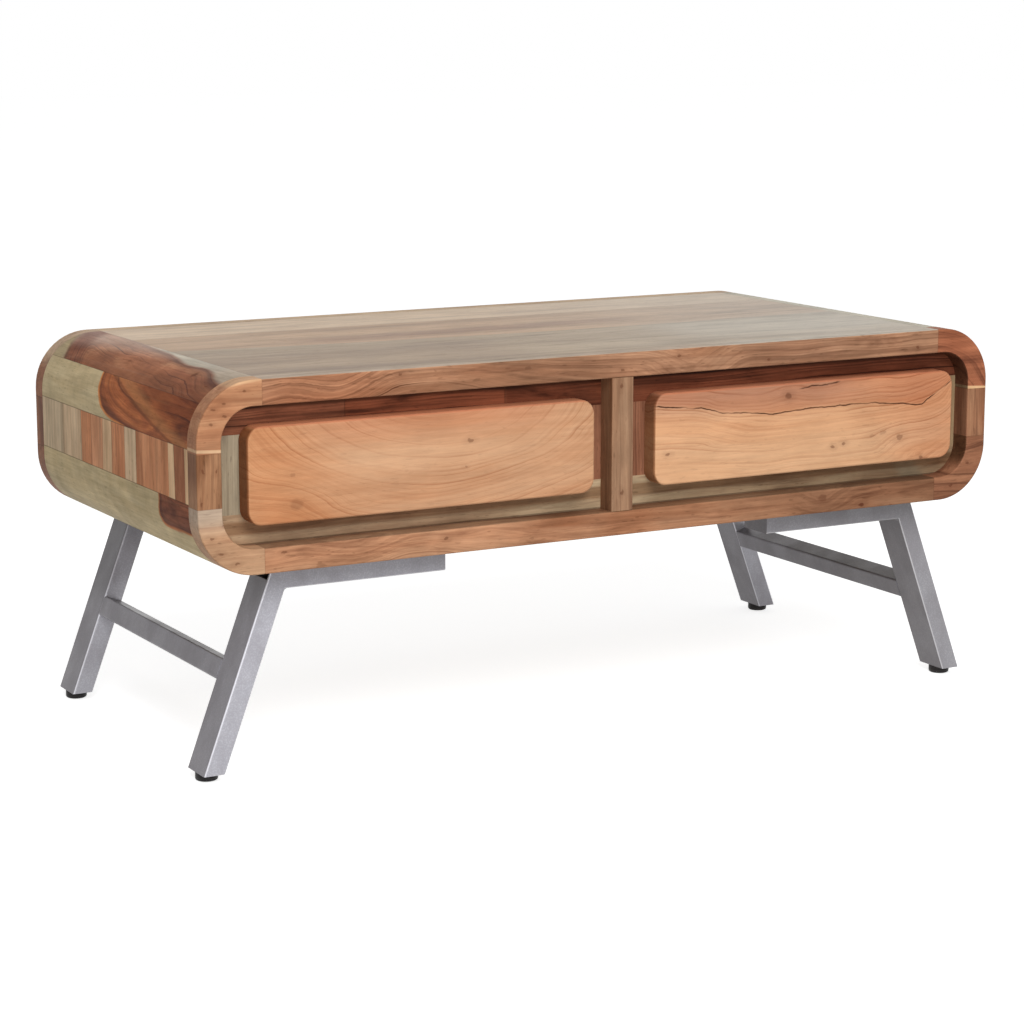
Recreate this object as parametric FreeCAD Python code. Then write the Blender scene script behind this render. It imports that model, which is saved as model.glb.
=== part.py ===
"""Coffee table with two drawers: every piece as its own solid, in millimetres.

The floor is z = 0, the front faces -Y and the width runs along X. The origin is on the
floor under the middle of the table.
"""

import FreeCAD, Part
import math
import os

os.makedirs("parts", exist_ok=True)

# Overall size
WIDTH = 1100.0
DEPTH = 530.0
HEIGHT = 466.0
CARCASS_HEIGHT = 222.0

# Wooden carcass
OUTER_RADIUS = 70.0
SHELL_WALL = 26.0
RING_WALL = 30.0
RING_DEPTH = 26.5
CORNER_LENGTH = OUTER_RADIUS + 10.0
TOP_CORNER_DROP = OUTER_RADIUS + 7.0
BOTTOM_CORNER_RISE = OUTER_RADIUS + 12.0
ARRIS = 2.0
GLUE_GAP = 0.3
TOP_BOARD_SHARES = (43, 36, 21)
STAVE_SHARES = (7, 30, 18, 103, 35, 45, 26, 36, 36, 67, 74)
BACK_PANEL_THICKNESS = 10.0
PARTITION_THICKNESS = 22.0
POST_WIDTH = 30.0

# Face frame and drawer openings
FRAME_THICKNESS = 20.0
DRAWER_SHIFT = 4.5

# Drawers
FRONT_MARGIN = 27.0
FRONT_GAP_BELOW = 25.0
FRONT_GAP_ABOVE = 24.0
FRONT_OVERLAP_X = 13.5
FRONT_OVERLAP_Z = 11.0
FRONT_THICKNESS = 23.5
FRONT_RADIUS = 18.0
FRONT_ARRIS = 3.0
FRONT_CLEARANCE = 0.5
BOX_SIDE_CLEARANCE = 2.0
BOX_BOTTOM_CLEARANCE = 2.5
BOX_TOP_CLEARANCE = 4.0
BOX_SIDE_THICKNESS = 14.0
BOX_FRONT_THICKNESS = 16.0
BOX_BACK_GAP = 23.5
BOTTOM_THICKNESS = 6.0
BOTTOM_RISE = 10.0
BOTTOM_GROOVE = 6.0
GROOVE_CLEARANCE = 0.1
FRONT_SCREW_RADIUS = 2.0
FRONT_SCREW_HEAD_RADIUS = 4.0
FRONT_SCREW_HEAD_HEIGHT = 2.5
FRONT_SCREW_BITE = 11.0
FRONT_SCREW_SHARES = (0.28, 0.26)

# Wooden drawer runners
RUNNER_HEIGHT = 12.0
RUNNER_GROOVE_DEPTH = 7.0
RUNNER_END_CLEARANCE = 0.5
RUNNER_DROP = 0.6
RUNNER_FRONT_GAP = 6.0
RUNNER_BACK_GAP = 28.0
BATTEN_HEIGHT = 40.0

# Steel leg frames
TUBE_DEPTH = 50.0
TUBE_THICKNESS = 25.0
TUBE_WALL = 2.0
TUBE_RADIUS = 2.5
LEG_LEAN = 20.5
LEG_INSET_X = 11.0
LEG_INSET_Y = 25.0
ARM_REACH = 223.5
LEG_NOTCH_HEIGHT = 13.0
WELD_RADIUS = 6.0
STRETCHER_SHARE = 0.459
ARM_SCREW_SHARES = (0.25, 0.84)
ARM_SCREW_RADIUS = 2.5
ARM_SCREW_HEAD_RADIUS = 5.0
ARM_SCREW_HEAD_HEIGHT = 3.0
ARM_SCREW_BITE = 17.0
SCREW_HOLE_CLEARANCE = 0.1

# Levelling feet
FOOT_HEIGHT = 10.0
FOOT_RADIUS = 13.3
FOOT_EDGE = 2.5
STEM_RADIUS = 4.0
STEM_LENGTH = 14.0
STEM_CLEARANCE = 0.05
STEM_END_GAP = 2.0
INSERT_HEIGHT = 18.0
INSERT_CLEARANCE = 0.1

# Places worked out from the sizes above
FRONT_Y = -DEPTH / 2
SHELL_Y = DEPTH / 2 - RING_DEPTH
HALF_WIDTH = WIDTH / 2
BASE_Z = HEIGHT - CARCASS_HEIGHT
INNER_X = HALF_WIDTH - SHELL_WALL
INNER_BOTTOM = BASE_Z + SHELL_WALL
INNER_TOP = HEIGHT - SHELL_WALL
SEAM_X = HALF_WIDTH - CORNER_LENGTH
FRAME_BACK_Y = -SHELL_Y + FRAME_THICKNESS
PANEL_Y = SHELL_Y - BACK_PANEL_THICKNESS
BAY_WIDTH = HALF_WIDTH - RING_WALL - POST_WIDTH / 2
BAY_CENTRE = (BAY_WIDTH + POST_WIDTH) / 2
FRONT_WIDTH = BAY_WIDTH - 2 * FRONT_MARGIN
FRONT_BOTTOM = BASE_Z + RING_WALL + FRONT_GAP_BELOW
FRONT_TOP = HEIGHT - RING_WALL - FRONT_GAP_ABOVE
OPENING_WIDTH = FRONT_WIDTH - 2 * FRONT_OVERLAP_X
OPENING_BOTTOM = FRONT_BOTTOM + FRONT_OVERLAP_Z
OPENING_TOP = FRONT_TOP - FRONT_OVERLAP_Z
RUNNER_Z = (OPENING_BOTTOM + OPENING_TOP) / 2
TAN_LEAN = math.tan(math.radians(LEG_LEAN))
COS_LEAN = math.cos(math.radians(LEG_LEAN))
LEG_WIDTH_X = TUBE_THICKNESS / COS_LEAN
LEG_OUTER_X = HALF_WIDTH - LEG_INSET_X
LEG_OUTER_Y = DEPTH / 2 - LEG_INSET_Y
LEG_Y = LEG_OUTER_Y - TUBE_DEPTH / 2
LEG_TOP_X = LEG_OUTER_X - TAN_LEAN * (BASE_Z - FOOT_HEIGHT)
ARM_END_X = LEG_TOP_X - ARM_REACH
ARM_SCREW_X = tuple(LEG_TOP_X - share * ARM_REACH for share in ARM_SCREW_SHARES)
STRETCHER_Z = FOOT_HEIGHT + STRETCHER_SHARE * (BASE_Z - FOOT_HEIGHT)
FOOT_X = LEG_OUTER_X - LEG_WIDTH_X / 2
ARM_BOTTOM = BASE_Z - TUBE_THICKNESS
SIDES = {"left": -1, "right": 1}
ROWS = {"front": -1, "back": 1}


def save(name, shape):
    """Write one node's shape as a STEP file."""
    shape.exportStep("parts/" + name + ".step")


def box(x0, x1, y0, y1, z0, z1):
    """Return a box between two corners given in any order."""
    low = FreeCAD.Vector(min(x0, x1), min(y0, y1), min(z0, z1))
    return Part.makeBox(abs(x1 - x0), abs(y1 - y0), abs(z1 - z0), low)


def rod(radius, base, direction, length):
    """Return a round rod that starts at base and runs along direction."""
    return Part.makeCylinder(radius, length, FreeCAD.Vector(*base), FreeCAD.Vector(*direction))


def prism(points, y0, y1):
    """Return an outline of (x, z) points extruded from y0 to y1."""
    corners = [FreeCAD.Vector(x, y0, z) for x, z in points]
    face = Part.Face(Part.makePolygon(corners + corners[:1]))
    return face.extrude(FreeCAD.Vector(0, y1 - y0, 0))


def edges_along(shape, direction):
    """Return the straight edges of a shape that run along a direction."""
    axis = FreeCAD.Vector(*direction).normalize()
    found = []
    for edge in shape.Edges:
        run = edge.Vertexes[-1].Point - edge.Vertexes[0].Point
        if run.Length > 1 and abs(abs(run.normalize().dot(axis)) - 1) < 1e-6:
            found.append(edge)
    return found


def edges_at_y(shape, y):
    """Return the edges of a shape that lie in the plane at y."""
    return [e for e in shape.Edges if abs(e.BoundBox.YMin - y) < 1e-6 and abs(e.BoundBox.YMax - y) < 1e-6]


def rounded_slab(x0, x1, y0, y1, z0, z1, radius):
    """Return a box whose four edges along Y are rounded."""
    slab = box(x0, x1, y0, y1, z0, z1)
    return slab.makeFillet(radius, edges_along(slab, (0, 1, 0)))


def tube_outline(inset, y0, y1):
    """Return the carcass outline, moved inwards by inset, as a slab from y0 to y1."""
    return rounded_slab(-HALF_WIDTH + inset, HALF_WIDTH - inset, y0, y1, BASE_Z + inset, HEIGHT - inset,
                        OUTER_RADIUS - inset)


def group(solids):
    """Return separate solids as one compound."""
    return Part.makeCompound(solids)


def ring_pieces(y_outer, y_inner):
    """Return the eight pieces of one end ring, with the edges at y_outer eased."""
    ring = tube_outline(0, y_outer, y_inner).cut(tube_outline(RING_WALL, y_outer, y_inner))
    ring = ring.makeFillet(ARRIS, edges_at_y(ring, y_outer))
    lower = BASE_Z + CORNER_LENGTH
    upper = HEIGHT - CORNER_LENGTH
    cells = {
        "top_rail": (-SEAM_X, SEAM_X, upper, HEIGHT),
        "bottom_rail": (-SEAM_X, SEAM_X, BASE_Z, lower),
    }
    for side, sign in SIDES.items():
        cells[side + "_stile"] = (sign * SEAM_X, sign * HALF_WIDTH, lower, upper)
        cells["top_" + side + "_corner"] = (sign * SEAM_X, sign * HALF_WIDTH, upper, HEIGHT)
        cells["bottom_" + side + "_corner"] = (sign * SEAM_X, sign * HALF_WIDTH, BASE_Z, lower)
    return {name: ring.common(box(x0, x1, y_outer, y_inner, z0, z1)).Solids[0]
            for name, (x0, x1, z0, z1) in cells.items()}


def split_along_y(shares, x0, x1, z0, z1):
    """Return boards that share the shell's depth, laid side by side from front to back."""
    boards = []
    y = -SHELL_Y
    for share in shares:
        width = 2 * SHELL_Y * share / sum(shares)
        boards.append(box(x0, x1, y, y + width, z0, z1))
        y += width
    return boards


def make_shell():
    """Make the boards, staves and corner blocks of the carcass shell."""
    shell = tube_outline(0, -SHELL_Y, SHELL_Y).cut(tube_outline(SHELL_WALL, -SHELL_Y, SHELL_Y))
    stave_bottom = BASE_Z + BOTTOM_CORNER_RISE
    stave_top = HEIGHT - TOP_CORNER_DROP
    save("top_boards", group(split_along_y(TOP_BOARD_SHARES, -SEAM_X, SEAM_X, INNER_TOP, HEIGHT)))
    bottom = box(-SEAM_X, SEAM_X, -SHELL_Y, SHELL_Y, BASE_Z, INNER_BOTTOM)
    for x, y in arm_screw_places():
        bottom = bottom.cut(rod(ARM_SCREW_RADIUS + SCREW_HOLE_CLEARANCE, (x, y, BASE_Z), (0, 0, 1),
                                ARM_SCREW_BITE + 1))
    save("bottom_panel", bottom)
    for side, sign in SIDES.items():
        staves = split_along_y(STAVE_SHARES, sign * INNER_X, sign * HALF_WIDTH, stave_bottom, stave_top)
        save(side + "_side_staves", group(staves))
        layers = [shell.common(box(sign * SEAM_X, sign * HALF_WIDTH, -SHELL_Y, SHELL_Y, z0, z1)).Solids[0]
                  for z0, z1 in ((INNER_TOP, HEIGHT), (stave_top, INNER_TOP))]
        save("top_" + side + "_corner_block", group(layers))
        block = shell.common(box(sign * SEAM_X, sign * HALF_WIDTH, -SHELL_Y, SHELL_Y, BASE_Z, stave_bottom))
        save("bottom_" + side + "_corner_block", block.Solids[0])


def make_rings():
    """Make the front ring piece by piece and the back ring as three groups."""
    for name, piece in ring_pieces(FRONT_Y, -SHELL_Y).items():
        save("front_ring_" + name, piece)
    back = ring_pieces(-FRONT_Y, SHELL_Y)
    for kind in ("rail", "stile", "corner"):
        save("back_ring_" + kind + "s", group([piece for name, piece in back.items() if name.endswith(kind)]))


def drawer_centre(sign):
    """Return the x of a drawer's middle: the left one has sign -1."""
    return sign * BAY_CENTRE + DRAWER_SHIFT


def make_face_frame():
    """Make the frame that the drawers close against, with one opening for each drawer."""
    slab = tube_outline(SHELL_WALL + GLUE_GAP, -SHELL_Y, FRAME_BACK_Y)
    half = OPENING_WIDTH / 2
    left = drawer_centre(-1)
    right = drawer_centre(1)
    cells = {
        "top_rail": (-HALF_WIDTH, HALF_WIDTH, OPENING_TOP, HEIGHT),
        "bottom_rail": (-HALF_WIDTH, HALF_WIDTH, BASE_Z, OPENING_BOTTOM),
        "left_stile": (-HALF_WIDTH, left - half, OPENING_BOTTOM, OPENING_TOP),
        "middle_stile": (left + half, right - half, OPENING_BOTTOM, OPENING_TOP),
        "right_stile": (right + half, HALF_WIDTH, OPENING_BOTTOM, OPENING_TOP),
    }
    for name, (x0, x1, z0, z1) in cells.items():
        save("face_frame_" + name, slab.common(box(x0, x1, -SHELL_Y, FRAME_BACK_Y, z0, z1)).Solids[0])


def make_inner_structure():
    """Make the centre post, the partition, the back panel, the battens and the runners."""
    half_post = POST_WIDTH / 2
    post = box(-half_post, half_post, FRONT_Y, -SHELL_Y, BASE_Z + RING_WALL, HEIGHT - RING_WALL)
    front_edges = [e for e in edges_along(post, (0, 0, 1)) if abs(e.BoundBox.YMax - FRONT_Y) < 1e-6]
    save("centre_post", post.makeFillet(ARRIS, front_edges))
    half_partition = PARTITION_THICKNESS / 2
    save("centre_partition", box(-half_partition, half_partition, FRAME_BACK_Y, PANEL_Y, INNER_BOTTOM, INNER_TOP))
    save("back_panel", tube_outline(SHELL_WALL + GLUE_GAP, PANEL_Y, SHELL_Y))
    battens = []
    runners = []
    reach = BOX_SIDE_CLEARANCE + RUNNER_GROOVE_DEPTH - RUNNER_END_CLEARANCE
    for sign in SIDES.values():
        walls = (INNER_X, half_partition) if sign > 0 else (-half_partition, -INNER_X)
        for edge, wall in zip((1, -1), walls):
            face = drawer_centre(sign) + edge * OPENING_WIDTH / 2
            battens.append(box(wall, face, FRAME_BACK_Y, PANEL_Y,
                               RUNNER_Z - BATTEN_HEIGHT / 2, RUNNER_Z + BATTEN_HEIGHT / 2))
            runners.append(box(face, face - edge * reach, FRAME_BACK_Y + RUNNER_FRONT_GAP, PANEL_Y - RUNNER_BACK_GAP,
                               RUNNER_Z - RUNNER_HEIGHT / 2, RUNNER_Z + RUNNER_HEIGHT / 2))
    save("runner_battens", group(battens))
    save("drawer_runners", group(runners))


def make_drawer(side, sign):
    """Make one drawer: front, box front, sides, back, bottom and front screws."""
    centre = drawer_centre(sign)
    front_back_y = -SHELL_Y - FRONT_CLEARANCE
    front_y = front_back_y - FRONT_THICKNESS
    side_y = front_back_y + BOX_FRONT_THICKNESS
    end_y = PANEL_Y - BOX_BACK_GAP
    half = OPENING_WIDTH / 2 - BOX_SIDE_CLEARANCE
    low = OPENING_BOTTOM + BOX_BOTTOM_CLEARANCE
    high = OPENING_TOP - BOX_TOP_CLEARANCE
    inner = half - BOX_SIDE_THICKNESS
    groove_low = low + BOTTOM_RISE
    groove_high = groove_low + BOTTOM_THICKNESS + 2 * GROOVE_CLEARANCE
    panel_half = inner + BOTTOM_GROOVE - GROOVE_CLEARANCE
    groove = box(centre - inner - BOTTOM_GROOVE, centre + inner + BOTTOM_GROOVE, side_y - BOTTOM_GROOVE, end_y,
                 groove_low, groove_high)

    front = rounded_slab(centre - FRONT_WIDTH / 2, centre + FRONT_WIDTH / 2, front_y, front_back_y,
                         FRONT_BOTTOM, FRONT_TOP, FRONT_RADIUS)
    front = front.makeFillet(FRONT_ARRIS, edges_at_y(front, front_y))
    box_front = box(centre - half, centre + half, front_back_y, side_y, low, high).cut(groove)
    screws = []
    spread_x = FRONT_SCREW_SHARES[0] * OPENING_WIDTH
    spread_z = FRONT_SCREW_SHARES[1] * (high - low)
    for dx in (-spread_x, spread_x):
        for dz in (-spread_z, spread_z):
            place = (centre + dx, side_y, RUNNER_Z + dz)
            reach = BOX_FRONT_THICKNESS + FRONT_SCREW_BITE
            shank = rod(FRONT_SCREW_RADIUS, place, (0, -1, 0), reach)
            head = rod(FRONT_SCREW_HEAD_RADIUS, place, (0, 1, 0), FRONT_SCREW_HEAD_HEIGHT)
            screws.append(shank.fuse(head))
            hole = rod(FRONT_SCREW_RADIUS + SCREW_HOLE_CLEARANCE, place, (0, -1, 0), reach + 1)
            front = front.cut(hole)
            box_front = box_front.cut(hole)

    sides = []
    for edge in (-1, 1):
        outer_x = centre + edge * half
        board = box(outer_x, outer_x - edge * BOX_SIDE_THICKNESS, side_y, end_y, low, high)
        runner_groove = box(outer_x, outer_x - edge * RUNNER_GROOVE_DEPTH, FRAME_BACK_Y + RUNNER_FRONT_GAP - 1, end_y,
                            RUNNER_Z - RUNNER_HEIGHT / 2 - RUNNER_DROP, RUNNER_Z + RUNNER_HEIGHT / 2)
        sides.append(board.cut(groove).cut(runner_groove))

    save(side + "_drawer_front", front)
    save(side + "_drawer_box_front", box_front)
    save(side + "_drawer_sides", group(sides))
    save(side + "_drawer_back", box(centre - inner, centre + inner, end_y - BOX_SIDE_THICKNESS, end_y,
                                    groove_high, high))
    save(side + "_drawer_bottom", box(centre - panel_half, centre + panel_half, side_y - BOTTOM_GROOVE + GROOVE_CLEARANCE,
                                      end_y, groove_low + GROOVE_CLEARANCE, groove_high - GROOVE_CLEARANCE))
    save(side + "_drawer_front_screws", group(screws))


def leg_x(z, inset=0.0):
    """Return the distance from the middle to a leg's outer face at height z, less an inset."""
    return LEG_OUTER_X - TAN_LEAN * (z - FOOT_HEIGHT) - inset / COS_LEAN


def arm_screw_places():
    """Return the (x, y) of every screw that holds an arm to the bottom panel."""
    return [(sx * x, sy * LEG_Y) for sx in SIDES.values() for sy in ROWS.values() for x in ARM_SCREW_X]


def joint_points(inset):
    """Return the upper and lower points of the mitre between a leg and its arm."""
    high = BASE_Z - inset
    low = ARM_BOTTOM + inset
    return (leg_x(high, inset), high), (leg_x(low, TUBE_THICKNESS - inset), low)


def mirrored(points, sign):
    """Return (x, z) points on the chosen side of the table."""
    return [(sign * x, z) for x, z in points]


def make_leg(sx, sy):
    """Return one leaning leg tube, open at both ends, with its outer wall cut away at the top."""
    shapes = []
    for inset in (0.0, TUBE_WALL):
        upper, lower = joint_points(inset)
        outline = [(leg_x(FOOT_HEIGHT, inset), FOOT_HEIGHT), (leg_x(FOOT_HEIGHT, TUBE_THICKNESS - inset), FOOT_HEIGHT),
                   lower, upper]
        reach = TUBE_DEPTH / 2 - inset
        shapes.append(prism(mirrored(outline, sx), sy * LEG_Y - reach, sy * LEG_Y + reach))
    outer = shapes[0].makeFillet(TUBE_RADIUS, edges_along(shapes[0], (-sx * TAN_LEAN, 0, 1)))
    notch_bottom = BASE_Z - LEG_NOTCH_HEIGHT
    notch = [(leg_x(z, inset), z) for z, inset in ((notch_bottom, -1.0), (notch_bottom, TUBE_WALL + 1.0),
                                                  (BASE_Z, TUBE_WALL + 1.0), (BASE_Z, -1.0))]
    reach = TUBE_DEPTH / 2 - TUBE_WALL
    slot = prism(mirrored(notch, sx), sy * LEG_Y - reach, sy * LEG_Y + reach)
    return outer.cut(shapes[1]).cut(slot)


def make_arm(sx, sy):
    """Return one level arm tube with a closed inner end and holes for its screws."""
    shapes = []
    for inset in (0.0, TUBE_WALL):
        upper, lower = joint_points(inset)
        end = ARM_END_X + inset
        outline = [upper, lower, (end, ARM_BOTTOM + inset), (end, BASE_Z - inset)]
        reach = TUBE_DEPTH / 2 - inset
        shapes.append(prism(mirrored(outline, sx), sy * LEG_Y - reach, sy * LEG_Y + reach))
    arm = shapes[0].makeFillet(TUBE_RADIUS, edges_along(shapes[0], (1, 0, 0))).cut(shapes[1])
    for x in ARM_SCREW_X:
        arm = arm.cut(rod(ARM_SCREW_RADIUS + SCREW_HOLE_CLEARANCE, (sx * x, sy * LEG_Y, ARM_BOTTOM), (0, 0, 1),
                          TUBE_THICKNESS))
    return arm


def make_weld(sx, sy):
    """Return the rounded weld in the inner corner between a leg and its arm."""
    corner_x, corner_z = joint_points(0.0)[1]
    half_angle = math.radians(90 + LEG_LEAN) / 2
    length = WELD_RADIUS / math.tan(half_angle)
    lean = math.radians(LEG_LEAN)
    bisector = math.radians(180) + half_angle
    centre_reach = WELD_RADIUS / math.sin(half_angle)
    on_arm = (corner_x - length, corner_z)
    on_leg = (corner_x + length * math.sin(lean), corner_z - length * math.cos(lean))
    middle = (corner_x + (centre_reach - WELD_RADIUS) * math.cos(bisector),
              corner_z + (centre_reach - WELD_RADIUS) * math.sin(bisector))
    reach = TUBE_DEPTH / 2 - TUBE_RADIUS
    y = sy * LEG_Y - reach
    corner, start, mid, end = [FreeCAD.Vector(sx * x, y, z) for x, z in
                               ((corner_x, corner_z), on_arm, middle, on_leg)]
    wire = Part.Wire([Part.makeLine(corner, start), Part.Arc(start, mid, end).toShape(), Part.makeLine(end, corner)])
    return Part.Face(wire).extrude(FreeCAD.Vector(0, 2 * reach, 0))


def make_stretcher(sx):
    """Return the square tube between a front leg and a back leg, leaning with them."""
    half = TUBE_THICKNESS / 2
    span = LEG_OUTER_Y - TUBE_DEPTH
    outer = box(-half, half, -span, span, -half, half)
    outer = outer.makeFillet(TUBE_RADIUS, edges_along(outer, (0, 1, 0)))
    core = half - TUBE_WALL
    tube = outer.cut(box(-core, core, -span, span, -core, core))
    tube.rotate(FreeCAD.Vector(0, 0, 0), FreeCAD.Vector(0, 1, 0), -sx * LEG_LEAN)
    tube.translate(FreeCAD.Vector(sx * (leg_x(STRETCHER_Z) - LEG_WIDTH_X / 2), 0, STRETCHER_Z))
    return tube


def make_insert(sx, sy):
    """Return the plastic insert in a leg's lower end, with the bore for the foot's stem."""
    inset = TUBE_WALL + INSERT_CLEARANCE
    top = FOOT_HEIGHT + INSERT_HEIGHT
    outline = [(leg_x(z, depth), z) for z, depth in ((FOOT_HEIGHT, inset), (FOOT_HEIGHT, TUBE_THICKNESS - inset),
                                                     (top, TUBE_THICKNESS - inset), (top, inset))]
    reach = TUBE_DEPTH / 2 - inset
    block = prism(mirrored(outline, sx), sy * LEG_Y - reach, sy * LEG_Y + reach)
    bore = rod(STEM_RADIUS + STEM_CLEARANCE, (sx * FOOT_X, sy * LEG_Y, FOOT_HEIGHT), (0, 0, 1),
               STEM_LENGTH + STEM_END_GAP)
    return block.cut(bore)


def make_foot(sx, sy):
    """Return one levelling foot: a round pad with its upright stem."""
    pad = rod(FOOT_RADIUS, (sx * FOOT_X, sy * LEG_Y, 0), (0, 0, 1), FOOT_HEIGHT)
    pad = pad.makeFillet(FOOT_EDGE, [e for e in pad.Edges if e.BoundBox.ZMax < 1e-3])
    return pad.fuse(rod(STEM_RADIUS, (sx * FOOT_X, sy * LEG_Y, FOOT_HEIGHT), (0, 0, 1), STEM_LENGTH))


def make_leg_frames():
    """Make both welded leg frames, their screws, their inserts and the four feet."""
    corners = [(side, sx, row, sy) for side, sx in SIDES.items() for row, sy in ROWS.items()]
    for side, sx, row, sy in corners:
        place = row + "_" + side
        save(place + "_leg", make_leg(sx, sy))
        save(place + "_arm", make_arm(sx, sy))
        save(place + "_foot", make_foot(sx, sy))
    for side, sx in SIDES.items():
        save(side + "_stretcher", make_stretcher(sx))
    save("leg_corner_welds", group([make_weld(sx, sy) for _, sx, _, sy in corners]))
    save("leg_end_inserts", group([make_insert(sx, sy) for _, sx, _, sy in corners]))
    screws = []
    for x, y in arm_screw_places():
        shank = rod(ARM_SCREW_RADIUS, (x, y, ARM_BOTTOM), (0, 0, 1), TUBE_THICKNESS + ARM_SCREW_BITE)
        head = rod(ARM_SCREW_HEAD_RADIUS, (x, y, ARM_BOTTOM), (0, 0, -1), ARM_SCREW_HEAD_HEIGHT)
        screws.append(shank.fuse(head))
    save("arm_screws", group(screws))


make_shell()
make_rings()
make_face_frame()
make_inner_structure()
for drawer_side, drawer_sign in SIDES.items():
    make_drawer(drawer_side, drawer_sign)
make_leg_frames()
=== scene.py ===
"""Looks of a coffee table with two drawers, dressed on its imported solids.

Every length is in metres. The floor is z = 0, the front faces -Y and the width runs along X.
"""

import logging
import math
from dataclasses import dataclass
from enum import Enum
from typing import Optional, Union

import bpy
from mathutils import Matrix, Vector


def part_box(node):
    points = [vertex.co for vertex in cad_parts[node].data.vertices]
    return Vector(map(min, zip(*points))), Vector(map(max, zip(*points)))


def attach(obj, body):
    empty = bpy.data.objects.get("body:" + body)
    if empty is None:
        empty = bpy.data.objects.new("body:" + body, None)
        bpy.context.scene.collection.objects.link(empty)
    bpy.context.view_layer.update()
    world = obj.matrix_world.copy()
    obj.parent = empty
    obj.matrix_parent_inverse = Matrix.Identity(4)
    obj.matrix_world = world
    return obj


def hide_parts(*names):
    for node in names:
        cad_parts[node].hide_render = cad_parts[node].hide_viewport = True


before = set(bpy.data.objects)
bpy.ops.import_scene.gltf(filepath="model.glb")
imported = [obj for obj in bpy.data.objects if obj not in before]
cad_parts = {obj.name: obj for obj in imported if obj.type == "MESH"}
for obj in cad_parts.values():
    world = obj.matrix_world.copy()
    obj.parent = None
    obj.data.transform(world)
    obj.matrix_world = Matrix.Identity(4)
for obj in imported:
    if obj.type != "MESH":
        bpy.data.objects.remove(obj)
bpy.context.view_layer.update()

LOG = logging.getLogger("coffee_table")
Rgb = tuple[int, int, int]
Point = tuple[float, float, float]
Stretch = tuple[float, float]
Profile = tuple[tuple[float, float], ...]
Limits = tuple[float, float, float, float]
Socket = bpy.types.NodeSocket
Value = Union[float, Socket]
Wire = Union[Point, Socket]
Paint = Union[Rgb, Socket]

ACROSS = (1.0, 0.0, 0.0)
LEFTWARD = (-1.0, 0.0, 0.0)
BACKWARD = (0.0, 1.0, 0.0)
UPWARD = (0.0, 0.0, 1.0)
DOWNWARD = (0.0, 0.0, -1.0)

SHELL_Y = 0.2385
FRONT_Y = -0.265
DRAWER_Y = -0.2625
SEAM_X = 0.470
RING_SEAM_HIGH = 0.386
RING_SEAM_LOW = 0.324
STAVE_TOP = 0.389
STAVE_BOTTOM = 0.326
LAMINATION_Z = 0.440


def linear(rgb: Rgb) -> tuple[float, float, float, float]:
    """Turn a display colour into the renderer's linear colour.

    Args:
        rgb: Red, green and blue, each from 0 to 255.

    Returns:
        Linear red, green, blue and a full alpha.
    """
    shares = [c / 255.0 for c in rgb]
    out = [s / 12.92 if s <= 0.04045 else ((s + 0.055) / 1.055) ** 2.4 for s in shares]
    return (out[0], out[1], out[2], 1.0)


class Grain(Enum):
    """The direction that a board's fibres follow."""

    ALONG_X = 0
    ALONG_Y = 1
    ALONG_Z = 2

    def scales(self, along: float, across: float) -> Point:
        """Return pattern scales with one value along the fibres and one across them.

        Args:
            along: Scale along the fibres.
            across: Scale in the two directions across them.

        Returns:
            The three scales in X, Y and Z.
        """
        out = [across] * 3
        out[self.value] = along
        return (out[0], out[1], out[2])


class Blend(Enum):
    """How a zone's colour meets the wood under it."""

    OVER = "MIX"
    SHADE = "MULTIPLY"


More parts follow.
